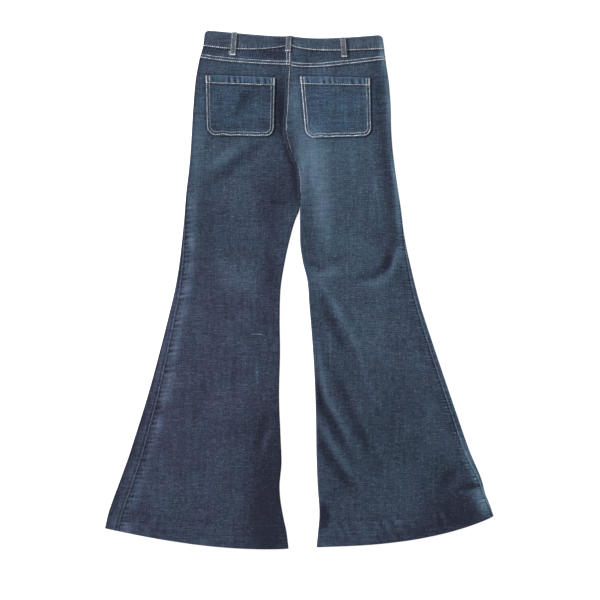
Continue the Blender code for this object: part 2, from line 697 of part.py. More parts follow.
def front_hardware(left, right):
    """Places of the front loops and the button, with the bumps that they make."""
    places = {}
    for name, leg in (("belt_loop_front_left", left), ("belt_loop_front_right", right)):
        places[name] = front_place(leg, FRONT_LOOP_DOWN, FRONT_LOOP_PLACE)
    centre_x, centre_y = front_place(right, 0.5, 1.0)
    places["waist_button"] = (centre_x + BUTTON_PLACE, centre_y)
    bumps = []
    for name, (x, y) in places.items():
        if name == "waist_button":
            top = BUTTON_HEIGHT + HARD_GAP
            bumps.append(Bump(x, y, BUTTON_RADIUS, BUTTON_RADIUS, BUTTON_FALL, top))
        else:
            half_width, half_length = LOOP_WIDTH / 2 + LOOP_MARGIN, FRONT_LOOP_LENGTH / 2 + LOOP_MARGIN
            bumps.append(Bump(x, y, half_width, half_length, LOOP_FALL, LOOP_THICKNESS + HARD_GAP))
    left.bumps = bumps
    right.bumps = bumps
    return places


def build_pieces():
    """Every sub-part as points and faces in the garment's own plan."""
    left, right = Leg(LEFT_SECTIONS), Leg(RIGHT_SECTIONS)
    places = front_hardware(left, right)
    pieces = {
        "waistband": waistband(left, right),
        "yoke_left": yoke_panel(left, True),
        "yoke_right": yoke_panel(right, False),
        "back_left": back_panel(left, True),
        "back_right": back_panel(right, False),
        "front_left": front_panel(left),
        "front_right": front_panel(right),
    }
    trees = {name: BVHTree.FromPolygons(points, faces) for name, (points, faces) in pieces.items()}
    for pocket, panel in zip(POCKETS, ("back_left", "back_right")):
        pieces[pocket.name] = patch_pocket(pocket, [trees[panel]])
    waist = [trees[name] for name in ("waistband", "yoke_left", "yoke_right")]
    for loop in BACK_LOOPS:
        pieces[loop.name] = back_loop(loop, waist)
    for name in ("belt_loop_front_left", "belt_loop_front_right"):
        pieces[name] = front_loop(*places[name])
    pieces["waist_button"] = waist_button(*places["waist_button"])
    seam_start = front_place(right, 1.0, 1.0)[1]
    pieces["fly_zip"] = fly_zip(right, seam_start + ZIP_DROP)
    return pieces


def to_world(pieces):
    """Turn the plan so that +Y is up, with the origin at the bottom centre of the box."""
    every = [point for points, _ in pieces.values() for point in points]
    middle_x = (min(p.x for p in every) + max(p.x for p in every)) / 2
    middle_y = (min(p.y for p in every) + max(p.y for p in every)) / 2
    return {
        name: ([Vector((p.x - middle_x, middle_y - p.y, p.z)) for p in points], faces)
        for name, (points, faces) in pieces.items()
    }


FINISHES = {
    "waistband": (DENIM, 0.85, 0.0),
    "waist_button": (BRASS, 0.35, 1.0),
    "fly_zip": (ZIP_METAL, 0.40, 0.8),
}


def main():
    """Build every sub-part in an empty scene."""
    for leftover in list(bpy.data.objects):
        bpy.data.objects.remove(leftover)
    for name, (points, faces) in to_world(build_pieces()).items():
        cloth = FADED_DENIM if name.startswith(("back", "pocket", "yoke")) else DENIM
        make_object(name, points, faces, FINISHES.get(name, (cloth, 0.85, 0.0)))


main()
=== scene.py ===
"""Looks of the flared jeans: denim, seams, sewing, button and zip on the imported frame.

The garment lies flat with its back uppermost. Its cloth is worked out in the garment's own
plan, in millimetres, with x to the right and y down from the top of the waistband, and z up
from the surface that it lies on. The Plan class carries that into the frame, in metres.
"""
from __future__ import annotations

import logging
import math
from dataclasses import dataclass, field
from enum import Enum
from typing import Any, Callable, Iterable, NamedTuple, Sequence

import bpy
import numpy as np
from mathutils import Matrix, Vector
from mathutils.bvhtree import BVHTree

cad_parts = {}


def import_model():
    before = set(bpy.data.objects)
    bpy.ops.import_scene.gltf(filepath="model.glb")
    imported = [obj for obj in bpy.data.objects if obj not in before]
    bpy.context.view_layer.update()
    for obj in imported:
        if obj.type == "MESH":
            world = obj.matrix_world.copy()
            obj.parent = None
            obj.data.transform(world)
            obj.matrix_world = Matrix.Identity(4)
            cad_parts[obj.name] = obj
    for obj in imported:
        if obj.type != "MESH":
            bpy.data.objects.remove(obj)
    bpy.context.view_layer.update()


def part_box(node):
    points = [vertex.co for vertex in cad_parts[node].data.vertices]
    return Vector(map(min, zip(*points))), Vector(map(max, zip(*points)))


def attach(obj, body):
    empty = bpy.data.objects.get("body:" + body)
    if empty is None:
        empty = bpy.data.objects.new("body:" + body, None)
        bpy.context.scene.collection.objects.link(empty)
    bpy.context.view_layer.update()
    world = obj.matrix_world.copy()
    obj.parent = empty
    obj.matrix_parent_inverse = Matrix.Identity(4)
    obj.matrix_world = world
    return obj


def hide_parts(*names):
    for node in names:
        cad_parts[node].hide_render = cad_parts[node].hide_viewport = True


MM = 0.001
QUARTER = math.pi / 2
Colour = tuple[float, float, float]
PlanPoint = tuple[float, float]
Array = np.ndarray

log = logging.getLogger("flared_jeans")


class Side(Enum):
    """Which half of the garment, as it lies with its back uppermost."""

    LEFT = "left"
    RIGHT = "right"


class Thread(Enum):
    """The three threads that the garment is sewn with."""

    ECRU = "thread_ecru"
    WORN = "thread_worn"
    TONAL = "thread_tonal"


class Section(NamedTuple):
    """Where one line across a leg meets its two edges, seen from above."""

    name: str
    outer_x: float
    outer_y: float
    inner_x: float
    inner_y: float
    seam: float     # from the middle of the outer fold to the side seam, up on to the back
    bow: float      # how far the line sags towards the hem
    bow_at: float   # share of the line's width where it sags most
    height: float   # top of the back in the middle of the line


class Crease(NamedTuple):
    """A soft ridge or trough along a chain of straight runs."""

    name: str
    path: Sequence[PlanPoint]
    width: float
    height: float


class FadeAndShade(NamedTuple):
    """A patch of cloth made lighter or darker, and its tint: some patches are washed or unwashed cloth,
    others are painted shade and painted highlights.
    """

    name: str
    x: float
    y: float
    half_width: float
    half_length: float
    lean: float     # degrees, clockwise seen from above
    light: float
    tint: float     # towards teal, or towards violet if negative


class Stripe(NamedTuple):
    """A soft line beside a seam or an edge, and what it adds to the cloth there."""

    name: str
    at: float
    width: float
    adds: float


class PocketPlan(NamedTuple):
    """Corners of a patch pocket, and the radius of its lower corners."""

    name: str
    top_left: PlanPoint
    top_right: PlanPoint
    bottom_left: PlanPoint
    bottom_right: PlanPoint
    corner: float

    @property
    def size(self) -> tuple[float, float]:
        """Width and height."""
        return math.dist(self.top_left, self.top_right), math.dist(self.top_left, self.bottom_left)

    def edge_distance(self, reach: Array, drop: Array) -> Array:
        """Distance in from the sides and the bottom, round the corners, at places in the pocket.

        Args:
            reach: distances from the pocket's left side.
            drop: distances from its mouth.

        Returns:
            The distances, in millimetres.
        """
        width, height = self.size
        side, bottom = np.minimum(reach, width - reach), height - drop
        in_corner = (side < self.corner) & (bottom < self.corner)
        from_turn = self.corner - np.hypot(self.corner - side, self.corner - bottom)
        return np.where(in_corner, from_turn, np.minimum(side, bottom))

    def edge_from(self, x: Array, y: Array) -> Array:
        """Distance in from the pocket's whole edge at plan places, below zero outside it.

        Args:
            x: plan places to the right.
            y: plan places down.

        Returns:
            The distances, in millimetres.
        """
        width, height = self.size
        (left_x, top_y), (right_x, top_right_y), (foot_x, foot_y), (far_x, far_y) = self[1:5]
        across = (x - left_x) / (right_x - left_x)
        top, bottom = top_y + (top_right_y - top_y) * across, foot_y + (far_y - foot_y) * across
        down = (y - top) / (bottom - top)
        left, right = left_x + (foot_x - left_x) * down, right_x + (far_x - right_x) * down
        drop = down * height
        return np.minimum(self.edge_distance((x - left) / (right - left) * width, drop), drop)

    def plan_at(self, reach: Array, drop: Array) -> tuple[Array, Array]:
        """Plan places at distances from the pocket's left side and from its mouth.

        Args:
            reach: distances from the pocket's left side.
            drop: distances from its mouth.

        Returns:
            Places to the right and down.
        """
        width, height = self.size
        across, down = reach / width, drop / height
        x, y = ((a + (b - a) * across) * (1 - down) + (c + (d - c) * across) * down
                for a, b, c, d in zip(*self[1:5]))
        return x, y


class LoopPlan(NamedTuple):
    """Upper and lower end of a belt loop's middle line."""

    name: str
    top: PlanPoint
    bottom: PlanPoint


class Bump(NamedTuple):
    """A hard piece under the front, which lifts the cloth above it."""

    x: float
    y: float
    half_width: float
    half_length: float
    fall: float
    height: float


SECTIONS: dict[Side, tuple[Section, ...]] = {side: tuple(Section(*row) for row in rows) for side, rows in {
    Side.LEFT: (
        ("waist edge", -197.5, -2, -17, 9, -3, 3.2, 0.75, 6.7),
        ("waist seam", -200.8, 32, -17, 30, -3, 8.5, 0.55, 6.2),
        ("yoke seam", -207.3, 56, -17, 72, -3, 3.5, 0.4, 5.8),
        ("pocket top", -215.3, 98, -19, 110, -3, 2, 0.5, 6),
        ("hip", -220.5, 154, -21, 161, -3, 0, 0.5, 5.9),
        ("seat", -223.8, 207, -24, 203, -3, 0, 0.5, 5.4),
        ("under seat", -226.3, 249, -15, 245, -2.8, 0, 0.5, 5),
        ("crotch", -230, 291, 1, 287, -1.5, 0, 0.5, 4.6),
        ("upper thigh", -235, 333, 4, 329, 1, 0, 0.5, 4.4),
        ("fork", -238.5, 375, 2.3, 374, 3.5, 0, 0.5, 4.2),
        ("thigh", -240.6, 400, -7, 398, 5.5, 0, 0.5, 4.2),
        ("mid thigh", -244.4, 438, -18.3, 438, 8.4, 0, 0.5, 4.2),
        ("knee", -249.6, 484, -28.4, 484, 11, 0, 0.5, 4.2),
        ("below knee", -258.7, 539, -37.1, 539, 13.6, 0, 0.5, 4.2),
        ("shin", -273, 600, -39.1, 600, 16.7, 0, 0.5, 4.2),
        ("calf", -291, 671, -38.4, 671, 20.3, 1, 0.5, 4.2),
        ("low calf", -315.4, 761, -40.4, 765, 24.6, 3, 0.5, 4.2),
        ("ankle", -342.6, 849, -36.9, 860, 28.2, 6, 0.5, 4.4),
        ("low ankle", -356.8, 893, -35.3, 905, 29.4, 8, 0.5, 4.6),
        ("flare", -372.2, 936, -39.4, 957, 30.4, 10, 0.5, 4.8),
        ("hem stitch", -394.2, 996, -27.9, 1036, 30.9, 12, 0.53, 5.4),
        ("hem fold", -396.6, 1003, -26.3, 1043, 30.9, 12.3, 0.53, 6.2),
        ("hem", -406.5, 1043, -20.5, 1085.5, 30.6, 13.3, 0.55, 6.2),
    ),
    Side.RIGHT: (
        ("waist edge", 177.5, 7.6, -17, 9, -3, 6.4, 0.64, 6.7),
        ("waist seam", 180.5, 39, -17, 30, -3, 8.5, 0.68, 6.2),
        ("yoke seam", 183, 61, -17, 72, -3, 7, 0.7, 5.8),
        ("pocket top", 189.6, 106, -19, 110, -3, 3, 0.6, 6),
        ("hip", 193.6, 156, -21, 161, -3, 0, 0.5, 5.9),
        ("seat", 194.8, 207, -24, 203, -3, 0, 0.5, 5.4),
        ("under seat", 197.8, 249, -15, 245, -3, 0, 0.5, 5),
        ("crotch", 203, 291, 1, 287, -2.5, 0, 0.5, 4.6),
        ("upper thigh", 209, 333, 4, 329, -1.2, 0, 0.5, 4.6),
        ("fork", 215.4, 375, 3, 374, 1, 0, 0.5, 4.6),
        ("thigh", 219.1, 408, 2.7, 408, 3.2, 0, 0.5, 4.6),
        ("mid thigh", 226, 450, 3.7, 450, 6.2, 0, 0.5, 4.8),
        ("knee", 233.4, 484, 8.9, 484, 8.8, 0, 0.5, 5),
        ("below knee", 242.2, 522, 18.1, 522, 10.6, 0, 0.5, 5),
        ("shin", 256.2, 576, 22.6, 576, 12, 0, 0.5, 5),
        ("calf", 278.2, 644, 28.2, 644, 13.4, 1, 0.5, 5.2),
        ("low calf", 304.1, 721, 33.2, 721, 13.9, 3, 0.5, 5.2),
        ("ankle", 332.7, 805, 36.4, 816, 13.9, 7, 0.48, 5.2),
        ("low ankle", 360, 883, 37.3, 886, 13.8, 10, 0.47, 5.2),
        ("flare", 385, 943, 39.6, 950, 9.6, 13.5, 0.46, 5.2),
        ("hem stitch", 394, 976, 43, 1027, 6.4, 16.5, 0.44, 5.6),
        ("hem fold", 397.5, 984, 42.3, 1034, 6, 17, 0.44, 6.2),
        ("hem", 409.5, 1017, 37.5, 1083, 4.8, 20.3, 0.42, 6.2),
    ),
}.items()}

ROW: dict[str, int] = {row.name: place for place, row in enumerate(SECTIONS[Side.LEFT])}

BACK_CREASES: tuple[Crease, ...] = tuple(Crease(*row) for row in (
    ("under the left pocket", [(-40, 212), (-112, 264), (-186, 324)], 12, -2.5),
    ("above it", [(-118, 242), (-154, 266), (-184, 290)], 13, 1.8),
    ("across the left pocket", [(-93, 121), (-131, 173)], 12, -2.2),
    ("beside the seat seam", [(-38, 112), (-33, 165), (-32, 212)], 9, -2.4),
    ("inner thigh crease", [(-64, 360), (-16, 360)], 5, -1.6),
    ("left knee", [(-160, 480), (-150, 524), (-100, 540), (-84, 486)], 18, 1.2),
    ("left pressed line", [(-133, 660), (-133, 790)], 7, -0.8),
    ("left flare ridge", [(-50, 820), (-77, 892)], 8, 2.2),
    ("left flare trough", [(-62, 800), (-94, 900)], 12, -1.6),
    ("right inner thigh", [(30, 230), (50, 333), (62, 429)], 24, 2.4),
    ("inner knee crease", [(18, 482), (48, 497), (68, 500)], 7, -2.2),
    ("knee crease", [(60, 482), (100, 482)], 8, -1.2),
    ("under the knee crease", [(40, 512), (100, 502)], 14, 1.4),
    ("outer knee trough", [(197, 448), (186, 490), (164, 512), (119, 522)], 9, -3),
    ("outer knee ridge", [(212, 462), (202, 504), (170, 530), (116, 540)], 11, 2.4),
    ("first shin ridge", [(45, 516), (87, 589), (119, 658), (165, 774)], 9, 2.6),
    ("first shin trough", [(54, 560), (76, 622), (104, 676)], 10, -3.2),
    ("short shin trough", [(88, 606), (112, 654), (136, 706)], 8, -2.4),
    ("second shin ridge", [(36, 640), (60, 763), (98, 837), (121, 890)], 10, 2.8),
    ("second shin trough", [(68, 692), (98, 763), (123, 826), (148, 874), (171, 914)], 11, -2.8),
    ("third trough", [(34, 722), (48, 780), (76, 824), (124, 910)], 11, -3.8),
    ("third ridge", [(40, 806), (70, 862), (104, 920), (134, 956)], 9, 2.4),
    ("fourth trough", [(38, 838), (64, 888), (93, 930), (124, 964)], 12, -3.6),
    ("outer flare trough", [(333, 918), (317, 938), (300, 958)], 11, -2.8),
    ("hem kink", [(338, 948), (380, 953)], 5, -2.8),
))

FRONT_CREASES: tuple[Crease, ...] = tuple(Crease(*row) for row in (
    ("left lap whisker", [(-190, 262), (-120, 284), (-60, 330)], 7, -0.7),
    ("left lower whisker", [(-200, 300), (-130, 316)], 8, -0.6),
    ("right lap whisker", [(160, 262), (95, 288), (40, 334)], 7, -0.7),
    ("right lower whisker", [(176, 306), (105, 322)], 8, -0.6),
    ("left knee crease", [(-205, 500), (-120, 512)], 9, -0.6),
    ("right knee crease", [(190, 498), (110, 520)], 9, -0.7),
    ("left shin crease", [(-90, 640), (-150, 790)], 12, -0.7),
    ("right shin crease", [(110, 620), (190, 800)], 12, -0.8),
))

# Washed and unwashed patches of the cloth, and patches of painted shade and painted highlight, marked below.
FADES_AND_PAINTED_LIGHT: tuple[FadeAndShade, ...] = tuple(FadeAndShade(*row) for row in (
    ("left seat", -120, 170, 120, 160, 0, 0.18, 0.3),
    ("right seat", 105, 200, 110, 190, 0, 0.22, 0.5),
    ("left hip strip", -214, 262, 15, 120, 3, 0.24, 0.2),
    ("left side strip", -262, 600, 20, 120, 14, 0.12, -0.5),
    ("left side violet", -330, 850, 60, 200, 18, 0.02, -0.7),
    ("under the left pocket", -150, 262, 34, 14, -43, 0.14, 0.2),
    ("left pocket's outer foot", -172, 196, 24, 18, 0, -0.08, 0),
    ("left pocket's inner foot", -70, 200, 20, 18, 0, -0.14, -0.2),
    # Painted shade in the hollow beside the seat seam.
    ("left of the seat seam", -42, 165, 14, 62, 0, -0.3, -0.3),
    ("lower seat seam", -16, 262, 13, 60, -12, -0.24, -0.3),
    # Partly washed pale, partly painted highlight where the right panel turns to the light.
    ("right of the seat seam", -6, 145, 15, 50, 0, 0.28, 0.2),
    ("right inner seat", 33, 248, 25, 62, -4, 0.28, 0.1),
    ("right inner thigh", 45, 372, 19, 88, -5, 0.26, 0.1),
    # Painted shade on the side of the right leg that faces away from the light.
    ("right hip dark", 168, 140, 15, 66, -3, -0.36, 0.3),
    ("right thigh dark", 189, 325, 17, 125, -8, -0.28, 0),
    # Pale rim along the right leg's outer edge: partly rubbed, partly painted highlight.
    ("right hip rim", 178, 50, 8, 40, -4, 0.75, 0.5),
    ("right hip edge", 190, 150, 5, 60, -2, 0.6, 0.4),
    ("right thigh edge", 203, 312, 6, 60, -8, 0.8, 0.3),
    ("right thigh strip", 210, 397, 8, 40, -9, 0.46, 0.2),
    ("right knee strip", 217, 472, 12, 36, -12, 0.26, 0.2),
    ("right thigh stripe", 111, 257, 7, 34, 0, 0.14, 0.2),
    ("right outer stripe", 165, 340, 5, 80, -9, 0.14, 0.2),
    ("right thigh", 110, 430, 80, 90, 0, 0.1, 0.5),
    ("left under-seat dark", -40, 340, 55, 62, 14, -0.22, -0.3),
    ("left thigh", -140, 380, 70, 90, 0, 0.05, 0),
    ("left inner knee dark", -58, 520, 18, 140, 0, -0.18, -0.3),
    ("left knee", -121, 503, 42, 28, 0, 0.15, 0),
    ("left shin", -180, 640, 90, 160, 8, 0.04, -0.75),
    ("left seam strip", -316, 800, 22, 80, 17, -0.12, -0.2),
    ("left inner shin dark", -60, 930, 44, 160, 2, -0.38, -0.3),
    ("left hem dark", -68, 1045, 48, 56, 0, -0.3, -0.2),
    ("left flare violet", -220, 880, 130, 150, 0, -0.03, -0.5),
    ("right inner knee", 40, 515, 28, 44, 0, 0.12, 0.3),
    ("right calf", 150, 610, 90, 90, -8, 0.16, 0.4),
    ("right flare blue", 190, 870, 115, 130, 0, -0.06, 0.75),
    ("right outer flare", 300, 930, 50, 46, 0, -0.1, 0.3),
    ("right hem", 300, 1040, 120, 24, -14, -0.3, 0.1),
    ("right hem corner dark", 330, 996, 50, 30, -15, -0.42, -0.1),
    # Pale rim and corner at the right hem's outer edge: partly rubbed, partly painted highlight.
    ("right flare rim", 355, 895, 7, 46, -21, 0.5, 0.4),
    ("right hem corner", 386, 986, 16, 34, -26, 0.78, 0.7),
    ("right hem edge", 380, 940, 9, 38, -22, 0.28, 0.5),
    # Painted shade in the crease at the right hem.
    ("right hem crease", 359, 956, 19, 4, -8, -1, 0),
    # Painted highlight along the right leg's inner edge, against the shade of its fold.
    ("right inner edge", 8, 300, 10, 62, -3, 0.42, 0.1),
    ("right pocket", 84, 160, 62, 52, 0, 0.05, 0),
    ("left shin streak", -87, 722, 1.8, 42, 0, 0.34, 0.1),
    ("left thigh streak", -92, 560, 1.8, 40, 2, 0.22, 0.1),
    ("right shin streak", 67, 662, 2, 56, 0, 0.32, 0.1),
    ("left outer strip", -372, 915, 14, 130, 18, -0.3, 0.8),
    # Painted shadow where the right hem folds under at its inner corner.
    ("right hem notch", 52, 1018, 10, 20, 0, -0.95, 0),
    ("left pocket diagonal", -112, 152, 15, 38, 40, -0.1, 0),
    # Painted shade and painted highlight of the fold at the right knee.
    ("knee crescent dark", 184, 494, 8, 26, 34, -0.3, 0),
    ("knee crescent light", 203, 476, 5, 26, 20, 0.3, 0.2),
    # Painted shade under the fold beside the centre loop.
    ("left of the centre loop", -36, 24, 12, 16, 0, -0.22, 0),
    ("right of the centre loop", 4, 40, 18, 24, 0, 0.1, 0.2),
    # Painted shadow below the waistband.
    ("under the band left", -58, 48, 40, 9, 0, -0.34, -0.2),
    ("under the band far left", -180, 42, 28, 8, 0, -0.12, 0),
    ("under the band right", 68, 50, 34, 8, 0, -0.12, 0),
))

THREAD_FADES: tuple[FadeAndShade, ...] = tuple(FadeAndShade(*row) for row in (
    ("waist row left", -168, 31, 30, 8, 0, 0.3, 0),
    ("waist row middle", -80, 35, 45, 8, 0, -0.28, 0),
    ("waist row right", 40, 38, 35, 9, 0, 0.08, 0),
    ("waist row far right", 140, 38, 30, 9, 0, -0.24, 0),
    ("left loop's rows", -136, 28, 10, 24, 0, 0.15, 0),
    ("centre loop's left row", -28, 28, 4, 20, 0, -0.32, 0),
    ("centre loop's right row", -15, 28, 4, 20, 0, 0.22, 0),
    ("right loop's left row", 87, 34, 4, 24, 0, -0.32, 0),
    ("yoke rows left", -110, 56, 75, 7, 0, -0.22, 0),
    ("yoke rows right", 85, 58, 75, 9, 0, -0.14, 0),
    ("left pocket's outer rows", -193, 155, 14, 48, 0, -0.42, 0),
    ("left pocket's inner rows", -51, 158, 12, 50, 0, -0.62, 0),
    ("left pocket's foot rows", -122, 219, 58, 10, 0, -0.1, 0),
    ("right pocket's inner rows", 9, 155, 14, 52, -5, 0.32, 0),
    ("right pocket's outer rows", 151, 158, 12, 50, 0, -0.4, 0),
    ("right pocket's foot rows", 85, 222, 52, 10, 0, 0.18, 0),
    ("right pocket's hem row", 78, 112, 55, 8, 0, -0.18, 0),
))

POCKETS: dict[Side, PocketPlan] = {
    Side.LEFT: PocketPlan("pocket_left", (-195, 92), (-49, 97), (-192, 218), (-52, 221), 19),
    Side.RIGHT: PocketPlan("pocket_right", (3, 94), (150, 98), (15, 224), (153, 220), 19),
}
BACK_LOOPS = (
    LoopPlan("belt_loop_back_left", (-134, 2.5), (-138, 51)),
    LoopPlan("belt_loop_back_centre", (-20, 10.5), (-22, 43)),
    LoopPlan("belt_loop_back_right", (93, 13.5), (96, 55)),
)
FRONT_LOOPS = ("belt_loop_front_left", "belt_loop_front_right")


def smooth(value: Any) -> Any:
    """Ease a number or an array from 0 to 1 with flat ends."""
    share = np.clip(value, 0.0, 1.0)
    return share * share * (3.0 - 2.0 * share)


def bell(distance: Array, width: float) -> Array:
    """A soft hump, 1 at no distance and gone at about twice its width."""
    return np.exp(-((distance / width) ** 2))


def stripes(rows: Iterable[Stripe], distance: Array) -> Array:
    """What soft lines add at distances from their seam."""
    return sum(row.adds * bell(distance - row.at, row.width) for row in rows)


def unit(vectors: Array) -> Array:
    """Vectors brought to a length of one."""
    return vectors / np.maximum(np.linalg.norm(vectors, axis=-1, keepdims=True), 1e-12)


def stacked(x: Array, y: Array, z: Array) -> Array:
    """Points from their three coordinates."""
    return np.stack(np.broadcast_arrays(x, y, z), axis=-1)


def run_length(points: Array) -> Array:
    """Length along a chain of points, from its start to each of them."""
    return np.concatenate(([0.0], np.cumsum(np.linalg.norm(np.diff(points, axis=0), axis=1))))


def evenly(points: Array, pitch: float, carried: Array | None = None) -> Array:
    """Points at an even pitch along a chain.

    Args:
        points: the chain.
        pitch: distance between two points.
        carried: other values of the chain's points, wanted instead of the points.

    Returns:
        The points, or the values that the chain carries there.
    """
    length = run_length(points)
    count = max(1 if carried is None else 2, int(length[-1] / pitch))
    places = (np.arange(count) + 0.5) * length[-1] / count
    columns = points if carried is None else carried
    return np.stack([np.interp(places, length, column) for column in columns.T], axis=-1)


def between(start: Array, end: Array, near: Sequence[float], far: Sequence[float], middle: int) -> Array:
    """Places across each row, close together at both ends.

    Args:
        start: where each row begins.
        end: where it ends.
        near: distances from the start.
        far: distances from the end, in falling order.
        middle: how many places lie between them.

    Returns:
        One row of places for each row.
    """
    way = np.sign(end - start)
    first, last = start + way * np.array(near), end - way * np.array(far)
    share = np.arange(1, middle + 1) / (middle + 1)
    return np.concatenate((first, first[:, -1:] + (last[:, :1] - first[:, -1:]) * share, last), axis=1)


def edged(start: float, end: float, edge: float, inset: float, middle: int) -> Array:
    """Places from a start to an end, with one close to each of them.

    Args:
        start: the first place.
        end: the last place.
        edge: distance from each to the place beside it.
        inset: distance from each to the even places between them.
        middle: how many even places there are.

    Returns:
        The places.
    """
    even = np.linspace(start + inset, end - inset, middle)
    return np.concatenate(([start, start + edge], even, [end - edge, end]))


@dataclass(frozen=True)
class Unevenness:
    """Repeatable waviness of cloth, made of sines that never fall in step."""

    seed: int

    def along(self, values: Array, wavelength: float) -> Array:
        """Waviness along a seam, of about -1 to 1, at lengths in millimetres.

        Args:
            values: lengths along the seam.
            wavelength: usual length of a wave, in millimetres.

        Returns:
            The waviness at each length.
        """
        draw = np.random.default_rng(self.seed)
        total = np.zeros_like(np.asarray(values, float))
        for _ in range(4):
            stretch, phase = draw.uniform(0.6, 1.5), draw.uniform(0, 2 * math.pi)
            total += np.sin(2 * math.pi * stretch * values / wavelength + phase)
        return total / 2.4

    def over(self, x: Array, y: Array, wavelength: float) -> Array:
        """Waviness over an area, of about -1 to 1, at points x and y.

        Args:
            x: plan places to the right.
            y: plan places down.
            wavelength: usual length of a wave, in millimetres.

        Returns:
            The waviness at each point.
        """
        draw = np.random.default_rng(self.seed)
        total = np.zeros(np.broadcast(x, y).shape)
        for _ in range(7):
            turn, phase = draw.uniform(0, math.pi), draw.uniform(0, 2 * math.pi)
            step = 2 * math.pi * draw.uniform(0.6, 1.4) / wavelength
            total += np.sin(step * (x * math.cos(turn) + y * math.sin(turn)) + phase)
        return total / 3.2


@dataclass(frozen=True)
class Pucker:
    """The small gathers that a row of stitches draws up beside itself."""

    wavelength: float
    reach: float
    slant: float
    seed: int

    def wave(self, along: Array, distance: Array) -> Array:
        """Height of the gathers, from about -1 to 1.

        Args:
            along: length along the stitching, in millimetres.
            distance: distance from the stitching.

        Returns:
            The gathers' relative height at each point.
        """
        phase = (along + self.slant * distance) / self.wavelength
        phase = phase + 0.35 * Unevenness(self.seed).along(along, 6.0 * self.wavelength)
        size = 0.6 + 0.55 * Unevenness(self.seed + 7).along(along, 4.2 * self.wavelength)
        near = smooth(distance / 1.6) * bell(distance, self.reach)
        return np.sin(2 * math.pi * phase) * np.clip(size, 0.05, 1.2) * near


# Each row's sizes are the gathers' wavelength, reach and slant, and the seed of their waviness
PUCKERS: dict[str, Pucker] = {name: Pucker(*sizes) for name, sizes in {
    "left side": (11.0, 15.0, 0.15, 11),
    "right side": (6.6, 8.0, 0.15, 11),
    "front side": (10.5, 8.0, 0.1, 61),
    "seat": (9.0, 7.0, 0.0, 47),
    "hem rope": (21.0, 30.0, 0.12, 23),
    "hem row": (8.2, 9.0, 0.3, 5),
    "under yoke": (8.5, 7.0, 0.0, 31),
    "yoke top": (8.8, 6.5, 0.0, 71),
    "yoke rows": (7.4, 5.0, 0.0, 73),
    "yoke ticks": (5.6, 4.6, 0.1, 103),
    "band": (8.0, 9.0, 0.0, 83),
    "pocket mouth": (10.5, 13.0, 0.12, 91),
    "pocket foot": (11.0, 6.0, 0.0, 97),
    "pocket ticks": (6.2, 5.0, 0.2, 101),
}.items()}


def crease_height(creases: Iterable[Crease], x: Array, y: Array) -> Array:
    """How far the creases lift or lower the cloth, in millimetres.

    Args:
        creases: the creases of one side of the garment.
        x: plan places to the right, in millimetres.
        y: plan places down.

    Returns:
        The height that they add at each place.
    """
    total = np.zeros(np.broadcast(x, y).shape)
    for crease in creases:
        best, progress = np.full(total.shape, np.inf), np.zeros(total.shape)
        runs = list(zip(crease.path, crease.path[1:]))
        for place, ((x0, y0), (x1, y1)) in enumerate(runs):
            run_x, run_y = x1 - x0, y1 - y0
            share = np.clip(((x - x0) * run_x + (y - y0) * run_y) / (run_x**2 + run_y**2), 0, 1)
            distance = np.hypot(x - x0 - share * run_x, y - y0 - share * run_y)
            progress = np.where(distance < best, (place + share) / len(runs), progress)
            best = np.minimum(best, distance)
        taper = 0.35 + 0.65 * smooth(3.0 * progress) * smooth(3.0 * (1.0 - progress))
        total += crease.height * taper * bell(best, crease.width)
    return total


def crease_wear_and_shade(creases: Iterable[Crease], points: Array) -> Array:
    """Colour that the creases bring: pale on ridges, partly rubbed and partly painted highlight, and painted
    shade in troughs.
    """
    return 0.30 * crease_height(creases, points[..., 0], points[..., 1])


def fade_and_shade_at(fades: Iterable[FadeAndShade], points: Array) -> tuple[Array, Array]:
    """How much lighter or darker the cloth or its thread is made, by fading and by painted light and shade,
    and its tint.

    Args:
        fades: the patches that count.
        points: plan points.

    Returns:
        The lightness and the tint that the fades add at each point.
    """
    light, tint = np.zeros(points.shape[:-1]), np.zeros(points.shape[:-1])
    for spot in fades:
        x, y, lean = points[..., 0] - spot.x, points[..., 1] - spot.y, math.radians(spot.lean)
        across = x * math.cos(lean) + y * math.sin(lean)
        down = y * math.cos(lean) - x * math.sin(lean)
        near = bell(across, spot.half_width) * bell(down, spot.half_length)
        light += spot.light * near
        tint += spot.tint * near
    return light, tint


@dataclass(frozen=True)
class Plan:
    """Carries the garment's own plan into the frame."""

    middle_x: float
    middle_y: float

    @classmethod
    def from_frame(cls) -> Plan:
        """The plan's place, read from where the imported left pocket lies."""
        lowest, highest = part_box(POCKETS[Side.LEFT].name)
        corner = POCKETS[Side.LEFT].top_left
        return cls(corner[0] - lowest.x / MM, corner[1] + highest.y / MM)

    def world(self, points: Array) -> Array:
        """Plan millimetres as metres in the frame."""
        return stacked(points[..., 0] - self.middle_x, self.middle_y - points[..., 1], points[..., 2]) * MM

    def flat(self, points: Array) -> Array:
        """Metres in the frame as plan millimetres."""
        moved = points / MM
        return stacked(moved[..., 0] + self.middle_x, self.middle_y - moved[..., 1], moved[..., 2])

    def box(self, node: str) -> tuple[Array, Array]:
        """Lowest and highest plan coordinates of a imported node."""
        corners = self.flat(np.array([tuple(corner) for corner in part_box(node)]))
        return corners.min(axis=0), corners.max(axis=0)


